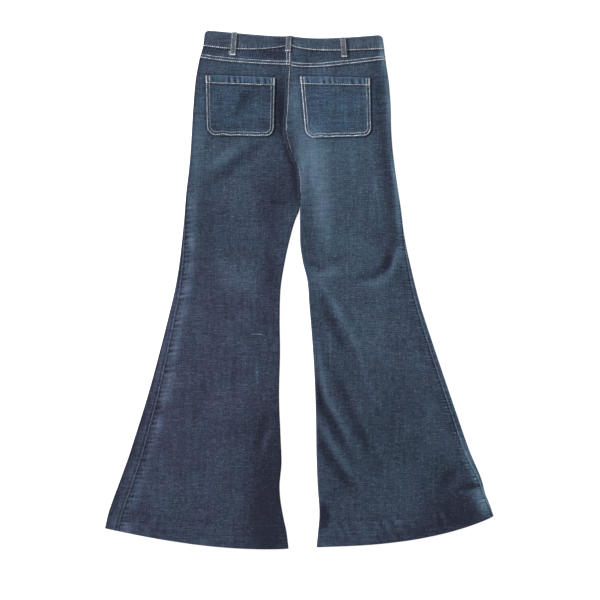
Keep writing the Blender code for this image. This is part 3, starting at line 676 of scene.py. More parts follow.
@dataclass
class Grid:
    """Outside of one sheet of cloth, as rows of plan points from its top to its bottom."""

    points: Array
    wall: Array
    wear: Array

    def __post_init__(self) -> None:
        """Give each point a wall of its own, and its wear and painted shade."""
        shape = self.points.shape[:-1]
        self.wall, self.wear = np.broadcast_to(self.wall, shape), np.broadcast_to(self.wear, shape)

    def joined_to(self, other: Grid) -> Grid:
        """This sheet with another one's columns after its own."""
        pairs = ((self.points, other.points), (self.wall, other.wall), (self.wear, other.wear))
        return Grid(*(np.concatenate(pair, axis=1) for pair in pairs))

    def turned(self) -> Grid:
        """The same sheet with its columns in the opposite order."""
        return Grid(self.points[:, ::-1], self.wall[:, ::-1], self.wear[:, ::-1])

    def cut(self) -> tuple[tuple[float, float], float]:
        """Width and length of the cloth it is cut from, and its flat area, in metres."""
        across = np.linalg.norm(np.diff(self.points, axis=1), axis=2)
        down = np.linalg.norm(np.diff(self.points, axis=0), axis=2)
        width, length = float(across.sum(axis=1).max() * MM), float(down.sum(axis=0).max() * MM)
        area = float(((across[:-1] + across[1:]) / 2 * (down[:, :-1] + down[:, 1:]) / 2).sum()) * MM * MM
        return (width, length), min(area, width * length)


@dataclass(frozen=True)
class ClothSizes:
    """Sizes of the cloth, its folds and its seams, in millimetres."""

    wall: float = 1.2
    double_wall: float = 2.4
    seam_gap: float = 0.3
    fold_radius: float = 3.2
    edge_ramp: float = 45.0         # from an edge to the flat middle
    crease_start: float = 14.0      # from an edge to where creases have their full height
    fork_clearance: float = 0.05
    crotch_blend: float = 36.0
    seam_ridge: float = 0.55
    ridge_width: float = 9.0
    ridge_start: float = 3.0
    band_rise: float = 0.9
    band_depth: float = 30.0
    front_dip: float = 25.0
    seam_peak: float = 9.0
    corner: float = 11.0
    lowest_back: float = 2.6
    lowest_blend: float = 0.7       # how softly the back stops at its lowest
    bump_clearance: float = 0.5     # between a hard piece and the front above it
    lift_share: float = 0.65        # of the front's lift, which reaches the back above it
    swells: tuple[tuple[float, int, float], ...] = ((0.40, 3, 105.0), (0.16, 5, 42.0))

    @property
    def fold_arc(self) -> float:
        """Length of cloth in a quarter turn round a folded edge."""
        return self.fold_radius * QUARTER

    def ridge(self, distance: Array) -> Array:
        """Thickness that folded seam allowances add at a distance from their seam."""
        return self.seam_ridge * smooth(2.5 - 2.5 * np.maximum(distance, 0.0) / self.ridge_width)

    def wall_at(self, station: Array) -> Array:
        """Thickness of a leg's cloth, which is doubled below the hem stitching."""
        return self.wall + (self.double_wall - self.wall) * smooth(station - ROW["hem stitch"])

    def swell(self, x: Array, y: Array) -> Array:
        """Broad soft waves of the cloth, from their heights, seeds and wavelengths."""
        return sum(size * Unevenness(seed).over(x, y, length) for size, seed, length in self.swells)


CLOTH = ClothSizes()


@dataclass
class Leg:
    """One half of the garment as a flattened tube, from the waist to the hem."""

    side: Side
    bumps: list[Bump]

    def __post_init__(self) -> None:
        """Keep each column of the section table, its slopes and the lengths between rows."""
        rows = SECTIONS[self.side]
        table = {name: np.array([getattr(row, name) for row in rows], float) for name in Section._fields[1:]}
        chains = {edge: np.stack((table[f"{edge}_x"], table[f"{edge}_y"]), axis=-1)
                  for edge in ("outer", "inner")}
        middle = (chains["outer"] + chains["inner"]) / 2
        self.columns: dict[str, tuple[Array, Array, Array]] = {}
        for name, column in table.items():
            span = np.linalg.norm(np.diff(chains.get(name.split("_")[0], middle), axis=0), axis=1)
            steep = np.diff(column) / span
            within = (steep[:-1] * span[1:] + steep[1:] * span[:-1]) / (span[:-1] + span[1:])
            self.columns[name] = column, np.concatenate((steep[:1], within, steep[-1:])), span

    @property
    def is_left(self) -> bool:
        """Whether this is the left leg, as the garment lies."""
        return self.side is Side.LEFT

    def value(self, name: str, station: Array) -> Array:
        """Smooth value of a column of the section table, between its rows.

        Args:
            name: the column.
            station: row numbers, with shares of a row.

        Returns:
            The column's values there.
        """
        column, slope, span = self.columns[name]
        station = np.asarray(station, float)
        first = np.clip(station.astype(int), 0, len(column) - 2)
        share = station - first
        square, cube = share**2, share**3
        bend = (cube - 2 * square + share) * slope[first] + (cube - square) * slope[first + 1]
        straight = (2 * cube - 3 * square + 1) * column[first] + (3 * square - 2 * cube) * column[first + 1]
        return straight + span[first] * bend

    def edges(self, station: Array) -> tuple[Array, ...]:
        """Plan places of the outer edge and then of the inner edge."""
        return tuple(self.value(name, station) for name in Section._fields[1:5])

    def width(self, station: Array) -> Array:
        """Flat width of the leg at a station."""
        outer_x, outer_y, inner_x, inner_y = self.edges(station)
        return np.hypot(inner_x - outer_x, inner_y - outer_y)

    def inner_sweep(self, station: Array) -> Array:
        """How far the cloth turns down at the inner edge: none above the crotch."""
        down = self.value("inner_y", station) - SECTIONS[self.side][ROW["crotch"]].inner_y
        return QUARTER * smooth(down / CLOTH.crotch_blend)

    def inner_reach(self, station: Array) -> Array:
        """Distance to the inner edge of the cloth, which stays clear of the other leg."""
        near_fork = smooth(station - ROW["upper thigh"]) * smooth(ROW["fork"] + 2 - station)
        return self.width(station) - CLOTH.seam_gap / 2 - CLOTH.fork_clearance * near_fork

    def half_length(self, station: Array) -> Array:
        """Length of cloth from the middle of the outer fold to the inner edge."""
        sweep = self.inner_sweep(station)
        flat = self.inner_reach(station) - CLOTH.fold_radius * (1 + np.sin(sweep))
        return CLOTH.fold_arc + flat + CLOTH.fold_radius * sweep

    def inner_end(self, station: Any) -> Array:
        """Length of cloth to the inner edge of one panel, short of its inseam."""
        station = np.asarray(station, float)
        return self.half_length(station) - CLOTH.seam_gap / 2 * self.inner_sweep(station) / QUARTER

    def fold_wear(self, along: Array) -> Array:
        """Colour of the outer fold's very edge: painted shade darkens it on the left leg, and on the right
        leg it is paler, partly rubbed and partly painted highlight.
        """
        return -2.0 * bell(along, 4.4) if self.is_left else 0.9 * bell(along, 3.4)

    def lift(self, x: Array, y: Array) -> Array:
        """Height that the hard pieces under the front give to the cloth above them."""
        total = np.zeros(np.broadcast(x, y).shape)
        for bump in self.bumps:
            across = smooth(1 - (np.abs(x - bump.x) - bump.half_width) / bump.fall)
            down = smooth(1 - (np.abs(y - bump.y) - bump.half_length) / bump.fall)
            total = np.maximum(total, bump.height * across * down)
        return total

    def place(self, station: Array, reach: Array, on_front: Array) -> tuple[Array, Array]:
        """Plan places at a distance from the outer edge of the leg.

        Args:
            station: row numbers of the section table, with shares.
            reach: distances from the outer edge.
            on_front: whether each place is on the front.

        Returns:
            Places to the right and down.
        """
        x, y, inner_x, inner_y = self.edges(station)
        share = reach / self.width(station)
        x, y = x + (inner_x - x) * share, y + (inner_y - y) * share
        peak = 2 * self.value("bow_at", station)
        inside = np.clip(share, 0.0, 1.0)
        hump = inside**peak * (1 - inside) ** (2 - peak)
        sag = self.value("bow", station) * hump / ((peak / 2) ** peak * (1 - peak / 2) ** (2 - peak))
        body = smooth(station / ROW["crotch"])
        drop = CLOTH.front_dip * (1 - body)
        drop = drop + CLOTH.seam_peak * smooth(station) * (1 - smooth((station - 1) / 3))
        sag = np.where(on_front, sag * body + drop * smooth(inside), sag)
        into = np.clip(CLOTH.corner - reach, 0.0, CLOTH.corner)
        round_off = CLOTH.corner - np.sqrt(CLOTH.corner**2 - into**2)
        return x, y + sag + round_off * np.maximum(0.0, 1 - station)

    def top(self, station: Array, reach: Array, x: Array, y: Array) -> Array:
        """Height of the back of the garment above the surface, in millimetres.

        Args:
            station: row numbers of the section table, with shares.
            reach: distances from the outer edge.
            x: plan places to the right.
            y: plan places down.

        Returns:
            The heights.
        """
        middle = self.value("height", station)
        rise = 2 * CLOTH.fold_radius - middle
        from_outer = reach - CLOTH.fold_radius
        from_inner = self.width(station) - CLOTH.fold_radius - reach
        height = middle + rise * (1 - smooth(from_outer / CLOTH.edge_ramp))
        turned_down = rise * self.inner_sweep(station) / QUARTER
        height = height + turned_down * (1 - smooth(from_inner / CLOTH.edge_ramp))
        room = smooth(from_outer / CLOTH.crease_start)
        room = room * np.where(station > ROW["crotch"], smooth(from_inner / CLOTH.crease_start), 1.0)
        spare = height + room * (crease_height(BACK_CREASES, x, y) + CLOTH.swell(x, y)) - CLOTH.lowest_back
        spare = (spare + np.hypot(spare, CLOTH.lowest_blend)) / 2
        return CLOTH.lowest_back + spare + CLOTH.lift_share * self.lift(x, y)

    def surface(self, station: Array, along: Array, rise: Any = 0.0) -> Array:
        """Outside of the cloth, at lengths round the leg from the middle of its outer fold.

        Args:
            station: row numbers of the section table, with shares.
            along: lengths round the leg, positive on the back and negative on the front.
            rise: how far a point stands out of the plain cloth.

        Returns:
            Plan points, in an array with one more axis.
        """
        radius, arc = CLOTH.fold_radius, CLOTH.fold_arc
        station = np.asarray(station, float)
        inner_start = self.inner_reach(station) - radius * np.sin(self.inner_sweep(station))
        run, on_front = np.abs(along), along < 0
        turn = np.clip(run / radius, 0, QUARTER)
        past = (run - arc - (inner_start - radius)) / radius
        inner_turn = np.where(past > 0, past, 0.0)
        outer = run < arc
        base = np.where(outer, radius, np.where(past > 0, inner_start, radius + run - arc))
        reach = base - np.where(outer, radius * np.cos(turn), 0) + radius * np.sin(inner_turn)
        across = np.where(outer, -np.cos(turn), np.sin(inner_turn))
        up = np.where(outer, np.sin(turn), np.cos(inner_turn))
        drop = radius * (1 - up)
        x, y = self.place(station, reach + across * rise, on_front)
        base_x, base_y = self.place(station, base, on_front)
        hollow = crease_height(FRONT_CREASES, base_x, base_y) * smooth((base - radius) / CLOTH.crease_start)
        under = self.lift(base_x, base_y) - hollow + drop
        over = self.top(station, base, base_x, base_y) - drop
        return stacked(x, y, np.where(on_front, under, over) + np.where(along > 0, up, -up) * rise)

    def middle_length(self, station: Array) -> Array:
        """Length down the leg's middle line, from the first station to each."""
        outer_x, outer_y, inner_x, inner_y = self.edges(station)
        return run_length(np.stack((outer_x + inner_x, outer_y + inner_y), axis=-1) / 2)

    def stations(self, start: float, end: float, pitch: float, edge: float = 0.8) -> Array:
        """Rows of equal length down the leg, with one short row at each end.

        Args:
            start: first row number of the section table.
            end: last row number.
            pitch: length of a row, in millimetres.
            edge: length of the short rows.

        Returns:
            Row numbers with shares, as a column.
        """
        fine = np.linspace(start, end, 900)
        length = self.middle_length(fine)
        inner = np.linspace(edge, length[-1] - edge, max(2, round(length[-1] / pitch)))
        return np.interp(np.concatenate(([0.0], inner, [length[-1]])), length, fine)[:, None]

    def down_from(self, station: Array, start: float) -> Array:
        """Length of leg from one row of the table to each station, along its middle."""
        fine = np.linspace(start, max(start + 0.01, float(np.max(station))), 900)
        return np.interp(station, fine, self.middle_length(fine))

    def shifted(self, station: float, along: Array, offset: float) -> Array:
        """Stations that lie a distance further down the cloth than a given one.

        Args:
            station: the given row number, with its share.
            along: lengths round the leg.
            offset: how far down the cloth, in millimetres.

        Returns:
            The row numbers, with shares.
        """
        here = np.full(np.shape(along), float(station))
        step = math.copysign(0.2, offset)
        moved = self.surface(here + step, along) - self.surface(here, along)
        return here + step * abs(offset) / np.linalg.norm(moved[..., :2], axis=-1)


@dataclass
class Surface:
    """Finished outside of some sheets, which other pieces are laid and sewn on."""

    plan: Plan
    grids: Sequence[Grid]
    ray_start: float = 60.0         # above the surface, in millimetres
    usual_height: float = 6.0       # where a place off the sheets looks for the nearest one

    def __post_init__(self) -> None:
        """Build one search tree over all the sheets."""
        points, faces = [], []
        for grid in self.grids:
            rows, columns = grid.points.shape[:2]
            number = np.arange(rows * columns).reshape(rows, columns) + len(points)
            quads = np.stack((number[1:, :-1], number[1:, 1:], number[:-1, 1:], number[:-1, :-1]), axis=-1)
            faces.extend(quads.reshape(-1, 4).tolist())
            points.extend(self.plan.world(grid.points).reshape(-1, 3).tolist())
        self.tree = BVHTree.FromPolygons(points, faces)

    def from_above(self, x: Array, y: Array) -> tuple[Array, Array]:
        """Highest points of the sheets at plan places, and the way they face.

        Args:
            x: plan places to the right.
            y: plan places down.

        Returns:
            Points and normals, in metres in the frame.
        """
        spots, normals = [], []
        for start in self.plan.world(stacked(x, y, self.ray_start)).reshape(-1, 3):
            hit, normal, _, _ = self.tree.ray_cast(Vector(start), Vector((0, 0, -1)))
            if hit is None:
                beside = Vector((start[0], start[1], self.usual_height * MM))
                hit, normal, _, _ = self.tree.find_nearest(beside)
            spots.append(tuple(hit))
            normals.append(tuple(normal if normal.z > 0 else -normal))
        shape = np.shape(x) + (3,)
        return np.array(spots).reshape(shape), np.array(normals).reshape(shape)

    def nearest(self, points: Array) -> tuple[Array, Array]:
        """Points of the sheets nearest to plan points just outside them, and their normals."""
        spots, normals = [], []
        for point in self.plan.world(points).reshape(-1, 3):
            hit, normal, _, _ = self.tree.find_nearest(Vector(point))
            spots.append(tuple(hit))
            normals.append(tuple(normal if normal.dot(Vector(point) - hit) >= 0 else -normal))
        return np.array(spots).reshape(points.shape), np.array(normals).reshape(points.shape)


class Modelling:
    """The few modelling steps that every piece goes through."""

    @staticmethod
    def pick(*pieces: bpy.types.Object) -> None:
        """Select these objects alone, the first of them active, or leave nothing selected."""
        bpy.ops.object.select_all(action="DESELECT")
        for piece in pieces:
            piece.select_set(True)
        if pieces:
            bpy.context.view_layer.objects.active = pieces[0]

    @staticmethod
    def modify(piece: bpy.types.Object, kind: str, **settings: Any) -> None:
        """Give a piece a modifier with these settings, and apply it.

        Args:
            piece: the piece.
            kind: the modifier's type.
            settings: its properties.
        """
        modifier = piece.modifiers.new(kind, kind)
        for name, value in settings.items():
            setattr(modifier, name, value)
        Modelling.pick(piece)
        bpy.ops.object.modifier_apply(modifier=modifier.name)

    @staticmethod
    def settle(piece: bpy.types.Object) -> None:
        """Carry a piece's place and turn into its mesh."""
        Modelling.pick(piece)
        bpy.ops.object.transform_apply(location=True, rotation=True, scale=True)

    @staticmethod
    def attribute(mesh: bpy.types.Mesh, name: str, values: Array) -> None:
        """Keep one number for each point of a mesh, for its finish to read."""
        layer = mesh.attributes.get(name) or mesh.attributes.new(name, "FLOAT", "POINT")
        layer.data.foreach_set("value", np.ascontiguousarray(values, np.float32).ravel())

    @staticmethod
    def sheet(name: str, grid: Grid, plan: Plan, rounding: float) -> bpy.types.Object:
        """A sheet of cloth with its thickness and soft edges.

        Args:
            name: the piece's name.
            grid: its outside.
            plan: carries it into the frame.
            rounding: radius of its cut or folded edges, in millimetres.

        Returns:
            The finished object.
        """
        rows, columns = grid.points.shape[:2]
        Modelling.pick()
        bpy.ops.mesh.primitive_grid_add(x_subdivisions=columns - 1, y_subdivisions=rows - 1, size=1.0)
        piece = bpy.context.active_object
        mesh = piece.data
        piece.name = mesh.name = name
        start = np.zeros(len(mesh.vertices) * 3, np.float32)
        mesh.vertices.foreach_get("co", start)
        start = start.reshape(-1, 3)
        column = np.rint((start[:, 0] + 0.5) * (columns - 1)).astype(int)
        row = np.rint((0.5 - start[:, 1]) * (rows - 1)).astype(int)
        world = plan.world(grid.points)[row, column]
        mesh.vertices.foreach_set("co", np.ascontiguousarray(world, np.float32).ravel())
        light, tint = fade_and_shade_at(FADES_AND_PAINTED_LIGHT, grid.points)
        for label, values in (("fade", light), ("tint", tint), ("wear", grid.wear)):
            Modelling.attribute(mesh, label, values[row, column])
        thickest, steps = float(grid.wall.max()), 24
        group = piece.vertex_groups.new(name="wall")
        weight = np.rint(grid.wall[row, column] / thickest * steps).astype(int)
        for step in np.unique(weight):
            group.add(np.flatnonzero(weight == step).tolist(), step / steps, "REPLACE")
        Modelling.modify(piece, "SOLIDIFY", thickness=thickest * MM, offset=-1.0, use_even_offset=False,
                         vertex_group=group.name)
        inside = np.arange(len(piece.data.vertices)) >= rows * columns
        Modelling.attribute(piece.data, "inside", inside.astype(float))
        Modelling.modify(piece, "BEVEL", width=rounding * MM, segments=3, limit_method="ANGLE",
                         angle_limit=math.radians(55))
        piece.vertex_groups.clear()
        piece.data.shade_smooth()
        return piece


def math_operator(operation: str, swapped: bool = False) -> Callable[[Sock, Any], Sock]:
    """A Python operator on sockets that adds one Math node.

    Args:
        operation: the node's operation.
        swapped: whether the other value comes first.

    Returns:
        The operator's method.
    """
    def method(own: Sock, other: Any) -> Sock:
        """The result of the two values."""
        values = (other, own) if swapped else (own, other)
        return own.graph.node("ShaderNodeMath", {"operation": operation}, dict(enumerate(values)))

    return method


class Sock:
    """A shader socket that takes part in arithmetic."""

    def __init__(self, graph: Graph, socket: bpy.types.NodeSocket) -> None:
        """Wrap a node's output."""
        self.graph = graph
        self.socket = socket

    __add__ = __radd__ = math_operator("ADD")
    __sub__ = math_operator("SUBTRACT")
    __rsub__ = math_operator("SUBTRACT", swapped=True)
    __mul__ = __rmul__ = math_operator("MULTIPLY")
    at_least = math_operator("MAXIMUM")
    at_most = math_operator("MINIMUM")

    def sine(self) -> Sock:
        """Sine."""
        return self.graph.node("ShaderNodeMath", {"operation": "SINE"}, {0: self})

    def clamp(self) -> Sock:
        """Kept between 0 and 1."""
        return self.at_least(0.0).at_most(1.0)

    def step(self, low: float, high: float) -> Sock:
        """Eased from 0 at the low value to 1 at the high one."""
        settings = {"interpolation_type": "SMOOTHSTEP"}
        return self.graph.node("ShaderNodeMapRange", settings, {0: self, 1: low, 2: high, 3: 0.0, 4: 1.0})


class Graph:
    """Node tree of one material, with patterns on Object coordinates in millimetres."""

    def __init__(self, name: str) -> None:
        """Start a material with its Principled shader.

        Args:
            name: the material's name.
        """
        self.material = bpy.data.materials.new(name)
        self.material.use_nodes = True
        self.tree = self.material.node_tree
        metres = self.node("ShaderNodeTexCoord", output=3)
        scale = (1 / MM, 1 / MM, 1 / MM)
        self.place = self.node("ShaderNodeVectorMath", {"operation": "MULTIPLY"}, {0: metres, 1: scale})

    def node(self, kind: str, settings: dict[str, Any] | None = None,
             inputs: dict[Any, Any] | None = None, output: int = 0) -> Sock:
        """Add a node.

        Args:
            kind: the node's type.
            settings: its properties, set first, with "stops" for a ramp's places and colours.
            inputs: values or sockets by input name or number.
            output: which output is wanted.

        Returns:
            The wanted output.
        """
        made = self.tree.nodes.new(kind)
        for key, value in (settings or {}).items():
            if key == "stops":
                self._stops(made.color_ramp, value)
            else:
                setattr(made, key, value)
        for key, value in (inputs or {}).items():
            self.feed(made.inputs[key], value)
        return Sock(self, made.outputs[output])

    @staticmethod
    def _stops(ramp: bpy.types.ColorRamp, stops: Sequence[tuple[float, Colour]]) -> None:
        """Give a ramp its places and colours."""
        while len(ramp.elements) < len(stops):
            ramp.elements.new(1.0)
        for element, (place, colour) in zip(ramp.elements, stops):
            element.position = place
            element.color = (*colour, 1.0)

    def feed(self, socket: bpy.types.NodeSocket, value: Any) -> None:
        """Link a socket, or set its own value."""
        if isinstance(value, Sock):
            self.tree.links.new(value.socket, socket)
        else:
            socket.default_value = (*value, 1.0) if socket.type == "RGBA" else value

    def speckle(self, scale: Colour, offset: Colour = (0.0, 0.0, 0.0), detail: float = 1.0,
                roughness: float = 0.5) -> Sock:
        """Noise about zero, stretched along each axis.

        Args:
            scale: its cells to a millimetre along x, y and z.
            offset: how far it is moved, in cells.
            detail: how many finer layers it has.
            roughness: how strong they are.

        Returns:
            The noise.
        """
        place = self.node("ShaderNodeMapping", {}, {"Vector": self.place, "Scale": scale, "Location": offset})
        inputs = {"Vector": place, "Scale": 1.0, "Detail": detail, "Roughness": roughness}
        return self.node("ShaderNodeTexNoise", {}, inputs) - 0.5

    def axis(self, number: int) -> Sock:
        """One of the coordinates, in millimetres."""
        return self.node("ShaderNodeSeparateXYZ", {}, {0: self.place}, number)

    def attribute(self, name: str) -> Sock:
        """A number kept on the mesh."""
        return self.node("ShaderNodeAttribute", {"attribute_name": name}, output=2)

    def mix(self, factor: Any, first: Any, second: Any, blend: str = "MIX") -> Sock:
        """Two colours mixed."""
        settings = {"data_type": "RGBA", "blend_type": blend}
        return self.node("ShaderNodeMix", settings, {0: factor, 6: first, 7: second}, output=2)

    def grey(self, light: Sock) -> Sock:
        """A grey of some lightness."""
        return self.node("ShaderNodeCombineColor", {}, {0: light, 1: light, 2: light})

    def bump(self, height: Sock, distance: float) -> Sock:
        """A normal bent by a height, whose full range is a distance in millimetres."""
        return self.node("ShaderNodeBump", {}, {"Strength": 1.0, "Distance": distance * MM, "Height": height})

    def finish(self, **inputs: Any) -> bpy.types.Material:
        """Feed the shader's inputs, named with underscores for spaces, and give the material."""
        for name, value in inputs.items():
            self.feed(self.tree.nodes["Principled BSDF"].inputs[name.replace("_", " ")], value)
        return self.material


class Weave(NamedTuple):
    """One layer of noise in the denim, and how far it lightens and raises the cloth."""

    scale: Colour
    offset: Colour
    detail: float
    roughness: float
    wash: float = 0.0
    height: float = 0.0


WEAVES: dict[str, Weave] = {
    "warp": Weave((0.72, 0.10, 0.2), (0.0, 0.0, 0.0), 2.0, 0.6, 0.60, 1.3),
    "weft": Weave((0.075, 0.80, 0.2), (31.0, 7.0, 3.0), 2.0, 0.6, 1.05, 1.5),
    "grain": Weave((0.95, 1.05, 0.6), (7.0, 1.0, 0.0), 2.0, 0.5, 0.55, 0.8),
    "slub": Weave((0.022, 0.62, 0.2), (11.0, 27.0, 3.0), 1.0, 0.5, 0.45),
    "rung": Weave((0.60, 0.030, 0.2), (17.0, 5.0, 3.0), 1.0, 0.5, 0.34),
    "cloud": Weave((0.013, 0.011, 0.01), (5.0, 2.0, 0.0), 2.0, 0.5, 0.34),
    "streak": Weave((0.20, 0.014, 0.1), (9.0, 4.0, 2.0), 2.0, 0.5, 0.30),
    "bar": Weave((0.018, 0.30, 0.1), (21.0, 14.0, 2.0), 2.0, 0.5, 0.20),
    "hue": Weave((0.017, 0.015, 0.01), (15.0, 42.0, 0.0), 1.0, 0.5),
    "fleck": Weave((0.46, 0.66, 0.3), (3.0, 9.0, 1.0), 1.0, 0.5),
}


@dataclass(frozen=True)
class Denim:
    """Washed indigo twill with slubs, faded, tinted, worn and painted with shade and highlights by what the
    mesh says.
    """

    name: str
    wash: float
    dark: Colour = (0.0098, 0.0134, 0.0295)
    middle: Colour = (0.030, 0.0435, 0.079)
    faded: Colour = (0.058, 0.096, 0.155)
    washed: Colour = (0.105, 0.165, 0.240)
    bleached: Colour = (0.185, 0.255, 0.335)
    pale: Colour = (0.30, 0.34, 0.38)
    lining: Colour = (0.16, 0.18, 0.20)
    violet: Colour = (1.16, 0.95, 1.06)
    teal: Colour = (0.84, 1.06, 0.99)
    twill: float = 1.25

    def material(self) -> bpy.types.Material:
        """The finish as a material."""
        graph = Graph(self.name)
        layers = {name: graph.speckle(*weave[:4]) for name, weave in WEAVES.items()}
        rib = ((graph.axis(0) + graph.axis(1)) * (2 * math.pi / self.twill)).sine()
        # The fade and wear attributes bring painted shade and painted highlights along with real fading and
        # wear.
        wear = graph.attribute("wear")
        wash = graph.attribute("fade") + self.wash + 0.30 * wear + 0.02 * rib
        height = 0.45 * rib
        for name, weave in WEAVES.items():
            if weave.wash:
                wash = wash + weave.wash * layers[name]
            if weave.height:
                height = height + weave.height * layers[name]
        wash = (0.7 * wash).clamp()
        colours = (self.dark, self.middle, self.faded, self.washed, self.bleached)
        stops = list(zip((0.0, 0.25, 0.48, 0.70, 1.0), colours))
        colour = graph.node("ShaderNodeValToRGB", {"stops": stops}, {0: wash})
        flecks = layers["fleck"].step(0.10, 0.25) * (0.16 + 0.85 * wash)
        shift = (graph.attribute("tint") * 0.5 + layers["hue"] * 0.9 + 0.5).clamp()
        tint = graph.mix(shift, self.violet, self.teal)
        colour = graph.mix(1.0, graph.mix(flecks, colour, self.pale), tint, "MULTIPLY")
        return graph.finish(
            Base_Color=graph.mix(graph.attribute("inside").step(0.9, 0.99), colour, self.lining),
            Roughness=(0.84 + 0.2 * layers["warp"] - 0.1 * wear).clamp(), Normal=graph.bump(height, 0.3),
            Sheen_Weight=0.05, Sheen_Roughness=0.5, Specular_IOR_Level=0.22,
        )


@dataclass(frozen=True)
class Cotton:
    """Sewing thread, lighter or darker from stitch to stitch."""

    name: str
    colour: Colour
    stain: Colour

    def material(self) -> bpy.types.Material:
        """The finish as a material."""
        graph = Graph(self.name)
        patch, strand = graph.speckle((0.11, 0.11, 0.1)), graph.speckle((3.2, 3.2, 3.2))
        colour = graph.mix(patch.step(-0.08, 0.16), self.colour, self.stain)
        tone = graph.grey(graph.attribute("tone") + 0.35 * strand)
        return graph.finish(
            Base_Color=graph.mix(1.0, colour, tone, "MULTIPLY"), Roughness=0.66 + 0.2 * strand,
            Normal=graph.bump(strand, 0.2), Sheen_Weight=0.15, Specular_IOR_Level=0.3,
        )


@dataclass(frozen=True)
class Brass:
    """Plain metal with a dull patina in its hollows."""

    name: str
    colour: Colour
    patina: Colour
    roughness: float

    def material(self) -> bpy.types.Material:
        """The finish as a material."""
        graph = Graph(self.name)
        cloud, scratch = graph.speckle((0.55, 0.55, 0.55), detail=3.0), graph.speckle((5.0, 0.4, 5.0))
        return graph.finish(
            Base_Color=graph.mix(cloud.step(-0.1, 0.2), self.colour, self.patina), Metallic=1.0,
            Roughness=(self.roughness + 0.3 * cloud + 0.1 * scratch).clamp(),
            Normal=graph.bump(scratch, 0.03),
        )


@dataclass(frozen=True)
class Tape:
    """Woven cotton tape of the zip."""

    name: str
    colour: Colour
    warp: float = 0.9
    weft: float = 0.7

    def material(self) -> bpy.types.Material:
        """The finish as a material."""
        graph = Graph(self.name)
        across, down = ((graph.axis(number) * (2 * math.pi / pitch)).sine()
                        for number, pitch in enumerate((self.warp, self.weft)))
        weave, grain = across * down, graph.speckle((1.6, 1.6, 1.6), detail=2.0)
        deep = tuple(0.55 * part for part in self.colour)
        return graph.finish(
            Base_Color=graph.mix((0.5 + 0.3 * weave + 0.5 * grain).clamp(), deep, self.colour),
            Roughness=(0.8 + 0.2 * grain).clamp(), Normal=graph.bump(weave + grain, 0.15),
        )


FINISHES = (
    Denim("denim_back", 0.35),
    Denim("denim_front", 0.35),
    Denim("denim_band", 0.44, middle=(0.033, 0.0445, 0.077), faded=(0.064, 0.098, 0.148),
          washed=(0.116, 0.169, 0.232)),
    Denim("denim_pocket", 0.30, middle=(0.0265, 0.043, 0.080), faded=(0.051, 0.097, 0.166),
          washed=(0.094, 0.166, 0.260)),
    Denim("denim_loop", 0.62, middle=(0.038, 0.048, 0.070), faded=(0.088, 0.103, 0.135),
          washed=(0.175, 0.195, 0.235)),
    Cotton(Thread.ECRU.value, (0.77, 0.82, 0.88), (0.465, 0.475, 0.52)),
    Cotton(Thread.WORN.value, (0.40, 0.38, 0.405), (0.23, 0.24, 0.28)),
    Cotton(Thread.TONAL.value, (0.105, 0.135, 0.19), (0.06, 0.08, 0.13)),
    Brass("button_brass", (0.50, 0.36, 0.17), (0.20, 0.13, 0.07), 0.36),
    Brass("zip_brass", (0.58, 0.48, 0.30), (0.30, 0.24, 0.15), 0.32),
    Tape("zip_tape", (0.035, 0.045, 0.075)),
)


@dataclass
class Garment:
    """What the sub-assemblies share: the plan, the two legs and the finishes."""

    plan: Plan
    legs: dict[Side, Leg]

    def __post_init__(self) -> None:
        """Make every finish once."""
        self.materials = {finish.name: finish.material() for finish in FINISHES}

    def declare(self, piece: bpy.types.Object, finish: str, slot: str, node: str = "") -> None:
        """Dress a piece, put it under the root body, and hide the node that it replaces, if any.

        Args:
            piece: the piece.
            finish: name of its finish.
            slot: not used.
            node: the node that it replaces.
        """
        piece.data.materials.clear()
        piece.data.materials.append(self.materials[finish])
        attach(piece, "root")
        if node:
            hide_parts(node)
        log.info("%s: %d faces", piece.name, len(piece.data.polygons))

    def sheet(self, name: str, node: str, grid: Grid, finish: str, slot: str, rests_on: Sequence[str],
              rounding: float) -> None:
        """Make, dress and declare a sheet of cloth.

        Args:
            name: its own name.
            node: the node that it replaces.
            grid: its outside.
            finish: name of its finish.
            slot: name of its slot.
            rests_on: not used.
            rounding: radius of its edges, in millimetres.
        """
        piece = Modelling.sheet(name, grid, self.plan, rounding)
        self.declare(piece, finish, slot, node)

    def cloth(self, node: str, grid: Grid, finish: str, rests_on: Sequence[str],
              rounding: float = 0.5) -> None:
        """Make the denim sheet that stands for a node."""
        self.sheet(f"{node}_cloth", node, grid, finish, finish, rests_on, rounding)


class SeamLooks(NamedTuple):
    """How the seams of one leg have puckered and worn."""

    gather_wear: float      # of the gathers beside the side seam
    strip_wear: float       # of the strip beside the side seam
    felled_wear: float      # of the front's edge at the side seam
    roping: float           # height of the hem's slanting ripples, in millimetres


SEAM_LOOKS: dict[Side, SeamLooks] = {
    Side.LEFT: SeamLooks(1.25, 1.15, 0.15, 0.35),
    Side.RIGHT: SeamLooks(2.1, -0.30, 0.3, 0.85),
}
# Rows of the felled side seam: the dark line at the join is painted shade in the seam's gap; the rubbed rows
# are real wear.
FELLED = (
    Stripe("rubbed edge", 2.2, 1.2, 0.7),
    Stripe("raw join", 0.0, 0.8, -0.6),
    Stripe("inner row", 6.0, 1.4, -0.7),
    Stripe("rubbed allowance", 10.0, 3.0, 0.4),
)


